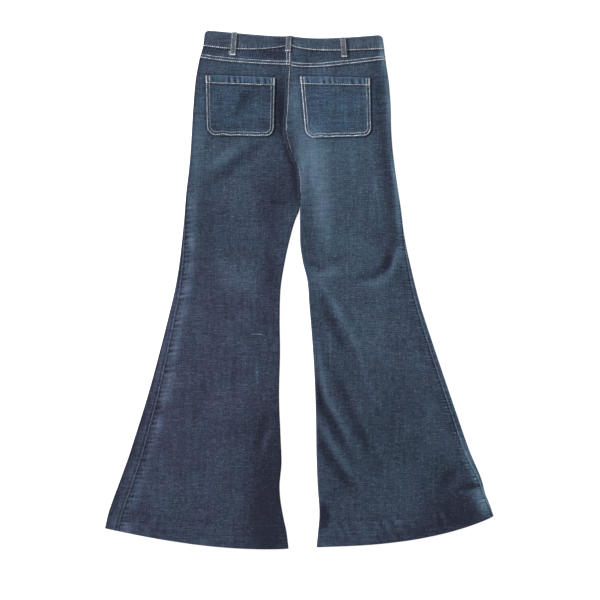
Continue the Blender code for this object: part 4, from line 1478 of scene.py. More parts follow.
@dataclass
class LegPanels:
    """Back and front of one leg, joined by the side seam and the inseam."""

    garment: Garment
    side: Side
    back_pitch: float = 2.6
    front_pitch: float = 3.4
    gather_height: float = 0.7
    hem_groove: float = 0.45
    strip_at: float = 13.0
    strip_width: float = 10.5

    def __post_init__(self) -> None:
        """Look up the leg and how its seams look."""
        self.leg, self.looks = self.garment.legs[self.side], SEAM_LOOKS[self.side]

    def hem_relief(self, station: Array, along: Array) -> tuple[Array, Array]:
        """Groove of the hem stitching and the slanting ripples below it.

        Args:
            station: rows of the section table, as a column.
            along: lengths round the leg.

        Returns:
            The relief in millimetres, and how worn the ripples are.
        """
        down, line = (self.leg.down_from(place, ROW["under seat"]) for place in (station, ROW["hem stitch"]))
        below = down - line
        groove = bell(below, 1.8)
        ripple = PUCKERS["hem rope"].wave(along, np.maximum(below, 0.0)) * smooth(below / 8)
        ripple = self.looks.roping * ripple
        short = PUCKERS["hem row"].wave(along, np.abs(below))
        return ripple + 0.22 * short - self.hem_groove * groove, 0.7 * ripple + 0.45 * short - 0.6 * groove

    def back(self) -> Grid:
        """Back of the leg, from the yoke seam to the hem."""
        leg = self.leg
        station = leg.stations(ROW["yoke seam"] + CLOTH.seam_gap / 40, ROW["hem"], self.back_pitch)
        start = leg.value("seam", station) + CLOTH.seam_gap / 2
        near = (0.0, 0.8, 1.8, 3.0, 4.4, 6.0, 7.8, 9.8, 12.0, 14.6, 17.6, 21.0, 25.0)
        far = (25.0, 19.0, 14.5, 11.0, 8.6, 6.8, 5.4, 4.3, 3.4, 2.5, 1.6, 0.8, 0.0)
        along = between(start, leg.inner_end(station), near, far, 68)
        from_seam, from_inner = along - along[:, :1], along[:, -1:] - along
        down, above_crotch = leg.down_from(station, ROW["yoke seam"]), station < ROW["crotch"]
        shown = smooth((start + 1.0) / 5)
        side_wave = PUCKERS[f"{self.side.value} side"].wave(down, from_seam) * shown
        yoke_wave = PUCKERS["under yoke"].wave(along, down)
        seat_wave = PUCKERS["seat"].wave(down, from_inner) * above_crotch
        hem, hem_wear = self.hem_relief(station, along)
        relief = CLOTH.ridge(from_seam) * smooth((start - CLOTH.fold_arc) / CLOTH.ridge_start)
        if leg.is_left:
            relief = np.where(above_crotch, np.maximum(relief, CLOTH.ridge(from_inner)), relief)
        relief = relief + self.gather_height * side_wave + 0.30 * yoke_wave + 0.25 * seat_wave + hem
        points = leg.surface(station, along, relief)
        wear = self.looks.gather_wear * side_wave + 0.7 * yoke_wave + 0.6 * seat_wave + hem_wear
        # Painted shade along the side seam and under the yoke seam, and the outer fold's edge colour.
        wear = wear - 1.1 * shown * bell(from_seam, 1.8) - 0.9 * bell(down, 2.2) + leg.fold_wear(along)
        patchy = 1.0 + 0.45 * Unevenness(37).along(down, 70.0) - 0.45 * smooth((station - ROW["calf"]) / 4)
        strip = bell(from_seam - self.strip_at, self.strip_width) * shown
        wear = wear + self.looks.strip_wear * patchy * strip
        if leg.is_left:
            # Painted shade in the hollow beside the seat seam, and a pale line along the seam's edge.
            by_seat = smooth(station - ROW["yoke seam"] - 0.2) * smooth(ROW["fork"] - station)
            wear = wear - 0.8 * by_seat * bell(from_inner - 11, 7.0)
            wear = wear + 0.5 * above_crotch * bell(from_inner - 1.2, 1.2)
        # The creases' ridges, partly rubbed and partly painted highlight, their troughs in painted shade, and
        # a painted shadow round the pocket's edge.
        edge = POCKETS[self.side].edge_from(points[..., 0], points[..., 1])
        wear = wear + crease_wear_and_shade(BACK_CREASES, points) - 1.1 * bell(edge + 1.0, 2.0)
        return Grid(points, CLOTH.wall_at(station), wear)

    def front(self) -> Grid:
        """Front of the leg, from the waistband to the hem, round the outer fold."""
        leg = self.leg
        station = leg.stations(ROW["waist seam"] + CLOTH.seam_gap / 24, ROW["hem"], self.front_pitch)
        start = leg.value("seam", station) - CLOTH.seam_gap / 2
        turn = np.full_like(start, -CLOTH.fold_arc - 1.0)
        far = (18.0, 11.0, 7.0, 5.2, 4.2, 3.3, 2.4, 1.6, 0.8, 0.0)
        wrap = between(start, turn, (0.0, 0.8), (0.0,), 22)
        flat = between(turn, -leg.inner_end(station), (3.0,), far, 44)
        along = np.concatenate((wrap, flat), axis=1)
        from_seam = along[:, :1] - along
        on_back = smooth((start + 1.0) / 5) * smooth((along - 1.0) / 4)
        wave = PUCKERS["front side"].wave(leg.down_from(station, ROW["waist seam"]), from_seam) * on_back
        hem, hem_wear = self.hem_relief(station, along)
        relief = 0.35 * wave + np.where(along < 0, -0.25 * np.abs(hem), 0.6 * hem)
        points = leg.surface(station, along, relief)
        felled = (stripes(FELLED, from_seam) + self.looks.felled_wear) * on_back
        # The creases' ridges, partly rubbed and partly painted highlight, and painted shade in their troughs.
        creases = np.where(along < 0, crease_wear_and_shade(FRONT_CREASES, points), crease_wear_and_shade(BACK_CREASES, points))
        wear = 0.6 * wave + 0.8 * hem_wear + leg.fold_wear(along) + felled + creases
        return Grid(points, CLOTH.wall_at(station), wear)

    def build(self) -> tuple[Grid, Grid]:
        """Make both panels and give their outsides, the back first."""
        name, is_left = self.side.value, self.leg.is_left
        back, front = self.back(), self.front()
        shown_back, shown_front = (back, front.turned()) if is_left else (back.turned(), front)
        self.garment.cloth(f"back_{name}", shown_back, "denim_back", [f"front_{name}_cloth"])
        self.garment.cloth(f"front_{name}", shown_front, "denim_front", [])
        return back, front


@dataclass
class Yoke:
    """Narrow shaped panel between the waistband and the back."""

    garment: Garment
    side: Side
    pitch: float = 1.9
    side_depth: float = 26.0
    depth_gain: float = 16.0        # towards the centre back
    twin_needle: tuple[float, float] = (2.4, 8.8)

    def build(self) -> Grid:
        """Make the yoke and give its outside."""
        leg = self.garment.legs[self.side]
        station = leg.stations(ROW["waist seam"] + CLOTH.seam_gap / 24, ROW["yoke seam"], self.pitch)
        start = leg.value("seam", station) + CLOTH.seam_gap / 2
        along = between(start, leg.inner_end(station), (0.0, 0.8, 2.2), (2.2, 0.8, 0.0), 92)
        from_centre = along[:, -1:] - along
        depth = self.side_depth + self.depth_gain * smooth(along / along.max())
        below, above = (ROW["yoke seam"] - station) * depth, (station - ROW["waist seam"]) * depth
        from_rows = np.abs(below - sum(self.twin_needle) / 2)
        groove = sum(bell(below - line, 1.1) for line in self.twin_needle)
        gather = PUCKERS["yoke top"].wave(along, above) + 0.6 * PUCKERS["yoke rows"].wave(along, from_rows)
        relief = CLOTH.ridge(below * 0.9)
        wear = 0.8 * gather + 1.6 * PUCKERS["yoke ticks"].wave(along, from_rows + 1.6)
        # A rubbed lower edge, a painted shadow under the waistband, and the outer fold's edge colour.
        wear = wear + 0.6 * bell(below, 1.2) - 1.1 * bell(above, 2.4) + leg.fold_wear(along)
        if leg.is_left:
            relief = np.maximum(relief, CLOTH.ridge(from_centre))
            wear = wear + 0.6 * smooth((10.5 - from_centre) / 3)
        relief = (relief - 0.22 * groove + 0.28 * gather) * smooth(along / CLOTH.fold_arc)
        grid = Grid(leg.surface(station, along, relief), CLOTH.wall, wear)
        name = self.side.value
        shown = grid if leg.is_left else grid.turned()
        self.garment.cloth(f"yoke_{name}", shown, "denim_back", [f"front_{name}_cloth"])
        return grid


@dataclass
class Waistband:
    """Folded band all round the waist, whose ends meet at the centre front."""

    garment: Garment
    pitch: float = 2.0
    needle: float = 2.2

    def half(self, leg: Leg) -> Grid:
        """One side's half of the band, from the centre front round to the centre back.

        Args:
            leg: the leg on that side.

        Returns:
            The band's outside there.
        """
        station = self.garment.legs[Side.LEFT].stations(0.0, 1.0, self.pitch, 1.3)
        end, fold = leg.inner_end(station), np.full_like(station, CLOTH.fold_arc + 2.0)
        front = between(-end, -fold, (0.0, 1.3), (0.0,), 86)
        turn = between(-fold, fold, (0.9,), (0.9,), 18)
        back = between(fold, end, (0.0,), (1.3, 0.0), 92)
        along = np.concatenate((front, turn, back), axis=1)
        below, above = station * CLOTH.band_depth, (1 - station) * CLOTH.band_depth
        gather, groove = PUCKERS["band"].wave(along, above), bell(above - self.needle, 1.1)
        relief = (CLOTH.band_rise - 0.25 * groove) * smooth(along / CLOTH.fold_arc)
        relief = relief + np.where(along > 0, 0.38, -0.114) * gather
        # A rubbed top edge, and painted shade along the lower edge where the band meets the yoke.
        wear = 1.5 * gather + 2.2 * bell(below, 1.5) - 0.3 * groove - 0.4 * bell(above, 1.0)
        return Grid(leg.surface(station, along, relief), CLOTH.double_wall, wear + leg.fold_wear(along))

    def build(self) -> Grid:
        """Make the band and give its outside."""
        left, right = (self.half(leg) for leg in self.garment.legs.values())
        band = left.joined_to(right.turned())
        self.garment.cloth("waistband", band, "denim_band", ["yoke_left_cloth", "yoke_right_cloth"], 1.0)
        return band


@dataclass
class PatchPocket:
    """Patch pocket with a turned, puckered hem at its mouth and round lower corners."""

    garment: Garment
    side: Side
    under: Surface
    hem: float = 16.0
    hem_step: float = 0.9
    turning: float = 9.0
    turning_step: float = 0.4
    twin_needle: tuple[float, float] = (1.9, 7.7)
    lies_above: float = 0.25

    @property
    def shape(self) -> PocketPlan:
        """Corners of this pocket."""
        return POCKETS[self.side]

    def grid(self) -> Grid:
        """Outside of the pocket, laid on the back of the garment."""
        (width, height), corner = self.shape.size, self.shape.corner
        rounding = corner * (1 - np.cos(np.linspace(0, QUARTER, 10)))
        straight = np.linspace(corner, width - corner, 44)[1:-1]
        reach = np.concatenate((rounding, straight, width - rounding[::-1]))
        drop = edged(0.0, height, 0.8, 2.4, 56)[:, None]
        into = np.maximum(0.0, corner - np.minimum(reach, width - reach))
        cut = corner - np.sqrt(np.maximum(0.0, corner**2 - into**2))
        drop = drop * (1 - cut / height)
        reach = reach + 0.0 * drop
        x, y = self.shape.plan_at(reach, drop)
        edge = np.maximum(self.shape.edge_distance(reach, drop), 0.0)
        in_hem = smooth((self.hem + 1.2 - drop) / 2.4)
        turned = smooth((self.turning + 1.0 - edge) / 2.0) * (1 - in_hem)
        gather = PUCKERS["pocket mouth"].wave(reach, self.hem - drop) * in_hem
        foot = PUCKERS["pocket foot"].wave(reach, height - drop)
        groove = sum(bell(edge - line, 0.9) for line in self.twin_needle)
        from_rows = np.abs(edge - sum(self.twin_needle) / 2)
        ticks = 1.7 * PUCKERS["pocket ticks"].wave(reach + drop, from_rows + 1.6) - 0.8 * bell(from_rows, 2.0)
        relief = 0.55 * gather + 0.28 * foot + 0.4 * turned - 0.25 * groove - 0.3 * bell(drop - self.hem, 1.2)
        wear = 2.0 * gather + 0.5 * in_hem + 0.9 * foot + 0.9 * bell(edge, 1.4) - 0.35 * groove + 0.5 * turned
        wear = wear + ticks * (1 - 0.6 * in_hem)
        # A rubbed mouth edge, and painted shade just below the hem's edge.
        wear = wear + 1.2 * bell(drop, 1.8) - 0.9 * bell(drop - self.hem - 2.6, 1.8)
        spots, _ = self.under.from_above(x, y)
        wall = CLOTH.wall + self.hem_step * in_hem + self.turning_step * turned
        z = spots[..., 2] / MM + CLOTH.seam_gap + wall + 0.6 * relief + self.lies_above
        points = stacked(x, y, z)
        # The creases' ridges, partly rubbed and partly painted highlight, and painted shade in their troughs.
        return Grid(points, wall, wear + crease_wear_and_shade(BACK_CREASES, points))

    def build(self) -> Grid:
        """Make the pocket and give its outside."""
        grid = self.grid()
        self.garment.cloth(self.shape.name, grid, "denim_pocket", [f"back_{self.side.value}_cloth"])
        return grid

    def outline(self, inset: float) -> list[PlanPoint]:
        """Reach and drop of a line inside the pocket's edge, from mouth to mouth.

        Args:
            inset: distance in from the edge.

        Returns:
            The line's places.
        """
        (width, height), corner = self.shape.size, self.shape.corner
        radius = corner - inset
        turns = [QUARTER * part / 6 for part in range(7)]
        left = [(corner - radius * math.cos(turn), height - corner + radius * math.sin(turn))
                for turn in turns]
        right = [(width - reach, drop) for reach, drop in reversed(left)]
        return [(inset, 1.2), *left, *right, (width - inset, 1.2)]


@dataclass
class BeltLoop:
    """Narrow folded strip over the waistband, sewn down at both ends."""

    garment: Garment
    line: LoopPlan
    under: Surface | None
    width: float = 12.0
    thickness: float = 1.7
    arch: float = 1.1
    tack: float = 7.0       # from each end to where the strip is free to arch
    columns: tuple[float, ...] = (0.0, 0.09, 0.2, 0.32, 0.44, 0.56, 0.68, 0.8, 0.91, 1.0)

    def grid(self) -> Grid:
        """Outside of the strip, facing up on the back or down on the front."""
        (top_x, top_y), (foot_x, foot_y) = self.line.top, self.line.bottom
        length = math.dist(self.line.top, self.line.bottom)
        down = edged(0.0, length, 0.9, 2.4, 24)[:, None]
        side, share = np.array(self.columns) * 2 - 1, down / length
        x, y = top_x + (foot_x - top_x) * share + side * self.width / 2, top_y + (foot_y - top_y) * share
        wear = 0.9 * smooth((np.abs(side) - 0.74) / 0.2) + 0.2 * Unevenness(13).along(down, 14.0)
        if self.under is None:
            return Grid(stacked(x, y, 0.0), self.thickness, wear)
        spots, _ = self.under.from_above(x, y)
        seat = spots[..., 2].max(axis=1, keepdims=True) / MM
        seat = np.maximum(seat, (seat + np.roll(seat, 1) + np.roll(seat, -1)) / 3)
        free = smooth(down / self.tack) * smooth((length - down) / self.tack)
        crown = 0.25 * np.cos(side * QUARTER) - 0.35 * bell(np.abs(side) - 0.66, 0.12)
        z = seat + CLOTH.seam_gap + self.thickness + self.arch * free * np.sin(math.pi * share) + crown
        return Grid(stacked(x, y, z), self.thickness, wear)

    def build(self) -> Grid:
        """Make the loop and give its outside."""
        grid = self.grid()
        shown = grid if self.under is not None else grid.turned()
        self.garment.cloth(self.line.name, shown, "denim_loop", ["waistband_cloth"], 0.55)
        return grid


@dataclass(frozen=True)
class Stitch:
    """Size and spacing of one kind of stitch, in millimetres."""

    length: float = 4.2
    pitch: float = 4.2
    width: float = 1.6
    height: float = 0.9
    across: bool = False


TOPSTITCH = Stitch()
FINE_STITCH = Stitch(2.5, 2.9, 0.8, 0.6)
SEAT_STITCH = Stitch(3.0, 3.2, 1.2, 0.8)
BAR_STITCH = Stitch(3.4, 0.75, 0.9, 1.1, True)
LOOP_STITCH = Stitch(2.6, 2.9, 1.3, 0.7)
SLUB_STITCH = Stitch(3.6, 2.6, 0.85, 0.45)
CURL_STITCH = Stitch(2.2, 1.1, 0.7, 0.7)


class SewnRow(NamedTuple):
    """The seam that a row of stitches belongs to, and what it is sewn with."""

    seam: str
    thread: Thread = Thread.ECRU
    stitch: Stitch = TOPSTITCH
    tone: float = 1.0       # how light the thread is


@dataclass
class Sewing:
    """Rows of stitches, kept until each thread of a seam is made as one piece."""

    garment: Garment
    rows: dict[tuple[str, Thread], list[tuple[Array, Array, Array]]] = field(default_factory=dict)
    seed: int = 1000
    sunk: float = 0.45      # below cloth that faces down
    sway: float = 0.07      # of each stitch out of its row's line, as a slope
    dive: float = 0.55      # of a stitch's ends into the cloth, in half heights
    search: float = 1.6     # from the plain cloth to where the finished cloth is looked for

    def lay(self, row: SewnRow, spots: Array, normals: Array) -> None:
        """Keep one row of stitches.

        Args:
            row: its seam, thread and kind of stitch.
            spots: middle of each stitch, in metres.
            normals: the way the cloth faces there.
        """
        count, stitch = len(spots), row.stitch
        if count < 2:
            return
        self.seed += 1
        draw = np.random.default_rng(self.seed)
        run = unit(np.gradient(spots, axis=0))
        side = unit(np.cross(normals, run))
        if stitch.across:
            run, side = side, -run
        run = unit(run + draw.normal(0, self.sway, (count, 1)) * side)
        side = unit(np.cross(normals, run))
        size = np.array([stitch.length, stitch.width, stitch.height]) / 2 * MM
        sizes = size * draw.uniform(0.88, 1.12, (count, 3))
        frames = np.stack((run, side, normals), axis=1) * sizes[:, :, None]
        sunk = np.where(normals[:, 2:] < -0.5, self.sunk, 0.0)
        spots = spots + normals * (0.12 * stitch.height - sunk) * MM
        tones = row.tone * draw.uniform(0.74, 1.14, count)
        tones = tones * (0.92 + 0.16 * Unevenness(self.seed).along(np.arange(count) * stitch.pitch, 26.0))
        light, _ = fade_and_shade_at(THREAD_FADES, self.garment.plan.flat(spots))
        tones = tones * np.clip(1 + light, 0.3, 1.6)
        self.rows.setdefault((row.seam, row.thread), []).append((spots, frames, tones))

    def on_plan(self, row: SewnRow, path: Sequence[PlanPoint] | Array, under: Surface) -> None:
        """Sew along a line of plan places on cloth that faces up."""
        places = evenly(np.asarray(path, float), row.stitch.pitch)
        self.lay(row, *under.from_above(places[:, 0], places[:, 1]))

    def on_leg(self, row: SewnRow, leg: Leg, station: Array, along: Array, under: Surface) -> None:
        """Sew along a line of stations and lengths round a leg.

        Args:
            row: its seam, thread and kind of stitch.
            leg: the leg.
            station: the line's row numbers of the section table, with shares.
            along: its lengths round the leg.
            under: the finished cloth.
        """
        points = leg.surface(station, along, self.search)
        places = evenly(points, row.stitch.pitch, np.stack((station, along), axis=-1))
        near = leg.surface(places[:, 0], places[:, 1], self.search)
        self.lay(row, *under.nearest(near))

    def one_stitch(self) -> tuple[Array, list[list[int]]]:
        """A single stitch of unit size: a fat strand whose ends dive into the cloth.

        Returns:
            Its points, and its faces as rows of three or four point numbers.
        """
        Modelling.pick()
        bpy.ops.mesh.primitive_uv_sphere_add(segments=6, ring_count=5, radius=1.0, rotation=(0, QUARTER, 0))
        stitch = bpy.context.active_object
        Modelling.settle(stitch)
        points = np.array([vertex.co for vertex in stitch.data.vertices])
        points[:, 2] -= self.dive * points[:, 0] ** 2
        faces = [list(face.vertices) for face in stitch.data.polygons]
        bpy.data.objects.remove(stitch)
        return points, faces

    def build(self) -> None:
        """Make one joined piece for each thread of each seam."""
        shape, faces = self.one_stitch()
        for (seam, thread), rows in self.rows.items():
            spots, frames, tones = (np.concatenate(column) for column in zip(*rows))
            points = spots[:, None, :] + np.einsum("pk,nkc->npc", shape, frames)
            every = [[corner + place * len(shape) for corner in face]
                     for place in range(len(spots)) for face in faces]
            mesh = bpy.data.meshes.new(f"stitches_{seam}_{thread.value}")
            mesh.from_pydata(points.reshape(-1, 3), [], every)
            Modelling.attribute(mesh, "tone", np.repeat(tones, len(shape)))
            mesh.shade_smooth()
            piece = bpy.data.objects.new(mesh.name, mesh)
            bpy.context.scene.collection.objects.link(piece)
            self.garment.declare(piece, thread.value, "thread")


@dataclass
class WaistButton:
    """Domed waist button with a dished face and two rings, lying face down."""

    garment: Garment
    radius: float = 8.5
    height: float = 3.0
    rings: tuple[tuple[float, float], ...] = (      # inset and push of each
        (0.9, 0.0), (0.45, 0.45), (2.1, 0.12), (0.4, -0.3), (0.7, 0.0), (0.4, 0.3))

    def build(self) -> None:
        """Model the cap by insets and extrusions, and round its edges."""
        lowest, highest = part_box("waist_button")
        Modelling.pick()
        bpy.ops.mesh.primitive_cylinder_add(
            vertices=48, radius=self.radius * MM, depth=self.height * MM, location=(lowest + highest) / 2)
        button = bpy.context.active_object
        button.name = "waist_button_cap"
        Modelling.settle(button)
        bpy.ops.object.mode_set(mode="EDIT")
        bpy.ops.mesh.select_all(action="DESELECT")
        bpy.ops.object.mode_set(mode="OBJECT")
        for face in button.data.polygons:
            face.select = face.normal.z < -0.9
        bpy.ops.object.mode_set(mode="EDIT")
        for inset, push in self.rings:
            bpy.ops.mesh.inset(thickness=inset * MM)
            bpy.ops.transform.translate(value=(0, 0, push * MM))
        bpy.ops.object.mode_set(mode="OBJECT")
        Modelling.modify(button, "BEVEL", width=0.35 * MM, segments=3, angle_limit=math.radians(30))
        button.data.shade_smooth()
        self.garment.declare(button, "button_brass", "button_metal", "waist_button")


@dataclass
class FlyZip:
    """Closed zip behind the centre front: two tapes, interlocked teeth and a slider."""

    garment: Garment
    tape: tuple[float, ...] = (0.0, 0.8, 2.4, 5.0, 8.0, 10.6, 11.8, 12.6)
    tape_gap: float = 0.8
    tape_wall: float = 0.9
    tooth_pitch: float = 2.1
    tooth: tuple[float, float, float] = (3.2, 1.25, 1.4)
    tooth_reach: float = 1.05
    tooth_rise: float = 0.75
    metal_start: float = 6.0

    def centre(self, y: Array) -> tuple[Array, Array]:
        """Middle of the zip at distances down, and the height that it lies at.

        Args:
            y: plan places down.

        Returns:
            Places to the right, and heights.
        """
        leg = self.garment.legs[Side.RIGHT]
        station = np.linspace(0.0, ROW["crotch"], 400)
        seam = leg.surface(station, -leg.half_length(station))
        x = np.interp(y, seam[:, 1], seam[:, 0])
        lift = np.max([leg.lift(x + step, y) for step in (-8.0, 0.0, 8.0)], axis=0)
        return x, lift + CLOTH.wall + CLOTH.seam_gap

    def build(self) -> None:
        """Make the tapes, the teeth and the slider."""
        lowest, highest = self.garment.plan.box("fly_zip")
        top, bottom = float(lowest[1]), float(highest[1])
        down = edged(top, bottom, 0.8, 3.0, 40)
        middle, seat = self.centre(down)
        reach = np.array(self.tape) + self.tape_gap / 2
        for side, across in ((Side.LEFT, -reach[::-1]), (Side.RIGHT, reach)):
            points = stacked(middle[:, None] + across, down[:, None], seat[:, None] + self.tape_wall)
            name, grid = f"zip_tape_{side.value}", Grid(points, self.tape_wall, 0.0)
            self.garment.sheet(name, "fly_zip", grid, "zip_tape", "zip", ["front_right_cloth"], 0.3)
        self.metal(self.teeth(top + self.metal_start, bottom - self.metal_start), "zip_teeth")
        self.metal(self.slider(top + self.metal_start), "zip_slider")

    @staticmethod
    def block(size: Sequence[float]) -> bpy.types.Object:
        """A small metal block with rounded edges, its middle at the origin.

        Args:
            size: its size along x, y and z, in millimetres.

        Returns:
            The block.
        """
        Modelling.pick()
        bpy.ops.mesh.primitive_cube_add(size=1.0)
        block = bpy.context.active_object
        block.scale = tuple(part * MM for part in size)
        Modelling.settle(block)
        Modelling.modify(block, "BEVEL", width=0.3 * MM, segments=1)
        return block

    def spot(self, y: float, across: float, down: float, rise: float) -> Array:
        """A place in the frame, moved a little from the zip's middle at a distance down."""
        x, seat = self.centre(np.array([y]))
        return self.garment.plan.world(np.array([x[0] + across, y + down, seat[0] + rise]))

    def teeth(self, top: float, bottom: float) -> bpy.types.Object:
        """Two rows of teeth that mesh in the middle, as one joined object.

        Args:
            top: where the teeth begin, down the plan.
            bottom: where they end.

        Returns:
            The joined teeth.
        """
        tooth = self.block(self.tooth)
        copies = []
        for place in range(2 * int((bottom - top) / self.tooth_pitch)):
            across = self.tooth_reach if place % 2 else -self.tooth_reach
            copy = tooth.copy()
            copy.data = tooth.data.copy()
            copy.location = self.spot(top + place * self.tooth_pitch / 2, across, 0.0, self.tooth_rise)
            bpy.context.scene.collection.objects.link(copy)
            copies.append(copy)
        bpy.data.objects.remove(tooth)
        return self.join(copies)

    def slider(self, y: float) -> bpy.types.Object:
        """Slider body with its bridge and hanging pull.

        Args:
            y: where it stands, down the plan.

        Returns:
            The joined slider.
        """
        parts = (((8.0, 10.0, 1.0), 0.0, 1.0), ((3.0, 6.5, 0.6), -0.5, 1.75), ((4.6, 17.0, 0.7), 13.0, 1.7))
        blocks = []
        for size, down, rise in parts:
            block = self.block(size)
            block.location = self.spot(y, 0.0, down, rise)
            blocks.append(block)
        return self.join(blocks)

    @staticmethod
    def join(pieces: Sequence[bpy.types.Object]) -> bpy.types.Object:
        """Join objects into the first of them, with its place in its mesh.

        Args:
            pieces: the objects.

        Returns:
            The joined object.
        """
        Modelling.pick(*pieces)
        bpy.ops.object.join()
        Modelling.settle(pieces[0])
        return pieces[0]

    def metal(self, piece: bpy.types.Object, name: str) -> None:
        """Name, dress and declare one metal piece of the zip."""
        piece.name = name
        piece.data.shade_smooth()
        self.garment.declare(piece, "zip_brass", "zip")


@dataclass
class SewnSeams:
    """Every row of stitches on the finished cloth."""

    garment: Garment
    sewing: Sewing
    band: Surface
    backs: dict[Side, Surface]
    fronts: dict[Side, Surface]
    yokes: dict[Side, Surface]
    pockets: dict[Side, PatchPocket]
    pocket_tops: dict[Side, Surface]

    def waist(self) -> None:
        """Lower edge of the waistband, all round."""
        for leg in self.garment.legs.values():
            end = float(leg.inner_end(0.9))
            runs = ((-end + 2, -6, 90), (-5, 5, 14), (6, end - 1, 90))
            along = np.concatenate([np.linspace(*run) for run in runs])
            station = leg.shifted(1.0, along, -Waistband.needle)
            self.sewing.on_leg(SewnRow("waistband", tone=1.12), leg, station, along, self.band)

    def yoke(self) -> None:
        """Twin rows along the lower edge of the yoke."""
        for side, leg in self.garment.legs.items():
            along = np.linspace(0.5, float(leg.inner_end(1.9)) - 1, 80)
            for offset, tone in ((-2.4, 1.1), (-8.6, 0.92)):
                station = leg.shifted(2.0, along, offset)
                self.sewing.on_leg(SewnRow("yoke", tone=tone), leg, station, along, self.yokes[side])

    def seat(self) -> None:
        """Centre back: one bright row by the seam and a tonal row beside it."""
        leg, yoke, back = self.garment.legs[Side.LEFT], self.yokes[Side.LEFT], self.backs[Side.LEFT]
        for start, end, inset, row, under in (
            (1.05, 1.98, 1.4, SewnRow("seat"), yoke),
            (1.05, 1.98, 8.0, SewnRow("seat"), yoke),
            (2.03, 5.1, 1.3, SewnRow("seat", Thread.ECRU, SEAT_STITCH), back),
            (5.1, 6.2, 1.3, SewnRow("seat", Thread.WORN, FINE_STITCH), back),
            (2.03, 6.8, 8.2, SewnRow("seat", Thread.TONAL, FINE_STITCH), back),
        ):
            station = np.linspace(start, end, 60)
            self.sewing.on_leg(row, leg, station, leg.inner_end(station) - inset, under)

    def sides(self) -> None:
        """Tonal rows beside the side seams, which are worn pale, and along the hems."""
        hem = float(ROW["hem stitch"])
        hem_line, side_row = np.full(160, hem), SewnRow("side", Thread.TONAL, FINE_STITCH, 2.1)
        for side, leg in self.garment.legs.items():
            back, front = self.backs[side], self.fronts[side]
            station = np.linspace(8.0, hem, 200)
            along = leg.value("seam", station) - 2.2
            self.sewing.on_leg(side_row, leg, station, along, front)
            end, seam = float(leg.inner_end(hem)), float(leg.value("seam", hem))
            for along, under, tone in (
                (np.linspace(seam + 1, end - 1, 160), back, 0.55),
                (np.linspace(seam - 1, -end + 1, 160), front, 1.0),
            ):
                row = SewnRow("hem", Thread.TONAL, FINE_STITCH, tone)
                self.sewing.on_leg(row, leg, hem_line, along, under)

    def fly(self) -> None:
        """Front: twin curved rows of the fly and the centre seam below it."""
        leg, under = self.garment.legs[Side.RIGHT], self.fronts[Side.RIGHT]
        station = np.concatenate((np.linspace(1.1, 3.5, 30), np.linspace(3.55, 4.3, 20)))
        straight = 1 - smooth((station - 3.5) / 0.8)
        for inset in (34.0, 28.0):
            along = -(leg.inner_end(station) - inset * straight - 2.5)
            self.sewing.on_leg(SewnRow("fly"), leg, station, along, under)
        station = np.linspace(1.1, 6.8, 90)
        for inset in (1.6, 7.6):
            row = SewnRow("fly", Thread.WORN, FINE_STITCH)
            self.sewing.on_leg(row, leg, station, inset - leg.inner_end(station), under)

    def pocket(self, side: Side) -> None:
        """Twin rows round a pocket, its hem row, and the boxes at its top corners.

        Args:
            side: which pocket.
        """
        pocket, hem = self.pockets[side], self.pockets[side].hem
        (width, height), (outer, inner) = pocket.shape.size, pocket.twin_needle

        def sew(path: Sequence[PlanPoint], thread: Thread = Thread.ECRU, stitch: Stitch = TOPSTITCH,
                tone: float = 1.0) -> None:
            """Sew along a line given by reach and drop, which strays a little near the foot.

            Args:
                path: the line.
                thread: its thread.
                stitch: kind of stitch.
                tone: how light the thread is.
            """
            reach, drop = evenly(np.asarray(path, float), 1.0).T
            wobble = 1.3 * Unevenness(19).along(reach, 38.0) * smooth((drop - height + 14) / 8)
            places = pocket.shape.plan_at(reach, drop + wobble - 0.5 * (wobble > 0))
            row = SewnRow(pocket.shape.name, thread, stitch, tone)
            self.sewing.on_plan(row, np.stack(places, axis=-1), self.pocket_tops[side])

        sew(pocket.outline(outer), tone=1.12)
        sew(pocket.outline(inner), Thread.WORN, tone=1.25)
        sew([(outer, hem), (width - outer, hem)])
        for near, far in ((outer, 8.2), (width - outer, width - 8.2)):
            sew([(near, 1.6), (far, 1.6)])
            sew([(far, 1.6), (far, hem)], tone=0.9)
            sew([(near, 1.0), (near, hem + 1.5)], stitch=BAR_STITCH)
        for share in (0.28, 0.62):
            reach = width * share
            sew([(reach, height - 1.6), (reach + 13, height - 2.2)], tone=1.1)

    def loose_threads(self, curl_on: Surface) -> None:
        """A slub in the left shin, and the end of a thread curled beside the left loop.

        Args:
            curl_on: the cloth under the curled end.
        """
        slub = [(-98, 636.0), (-86, 635.8), (-75, 635.8)]
        self.sewing.on_plan(SewnRow("loose", Thread.TONAL, SLUB_STITCH, 4.0), slub, self.backs[Side.LEFT])
        curl = [(-142, 41), (-145, 43), (-146, 47), (-143.5, 50), (-140.5, 52)]
        self.sewing.on_plan(SewnRow("loose", Thread.ECRU, CURL_STITCH, 1.1), curl, curl_on)

    def loop(self, line: LoopPlan, top: Surface) -> None:
        """Two rows down a loop, and its bar tack.

        Args:
            line: the loop's middle line.
            top: its outside.
        """
        upper, lower = np.array(line.top), np.array(line.bottom)
        for shift in (-4.1, 4.1):
            path = np.array([upper + (shift, 1), lower + (shift, -1)])
            self.sewing.on_plan(SewnRow("loops", Thread.WORN, LOOP_STITCH, 1.5), path, top)
        tack = np.array([lower + (-5.6, -2.0), lower + (5.6, -2.0)])
        self.sewing.on_plan(SewnRow("loops", Thread.ECRU, BAR_STITCH, 1.35), tack, top)


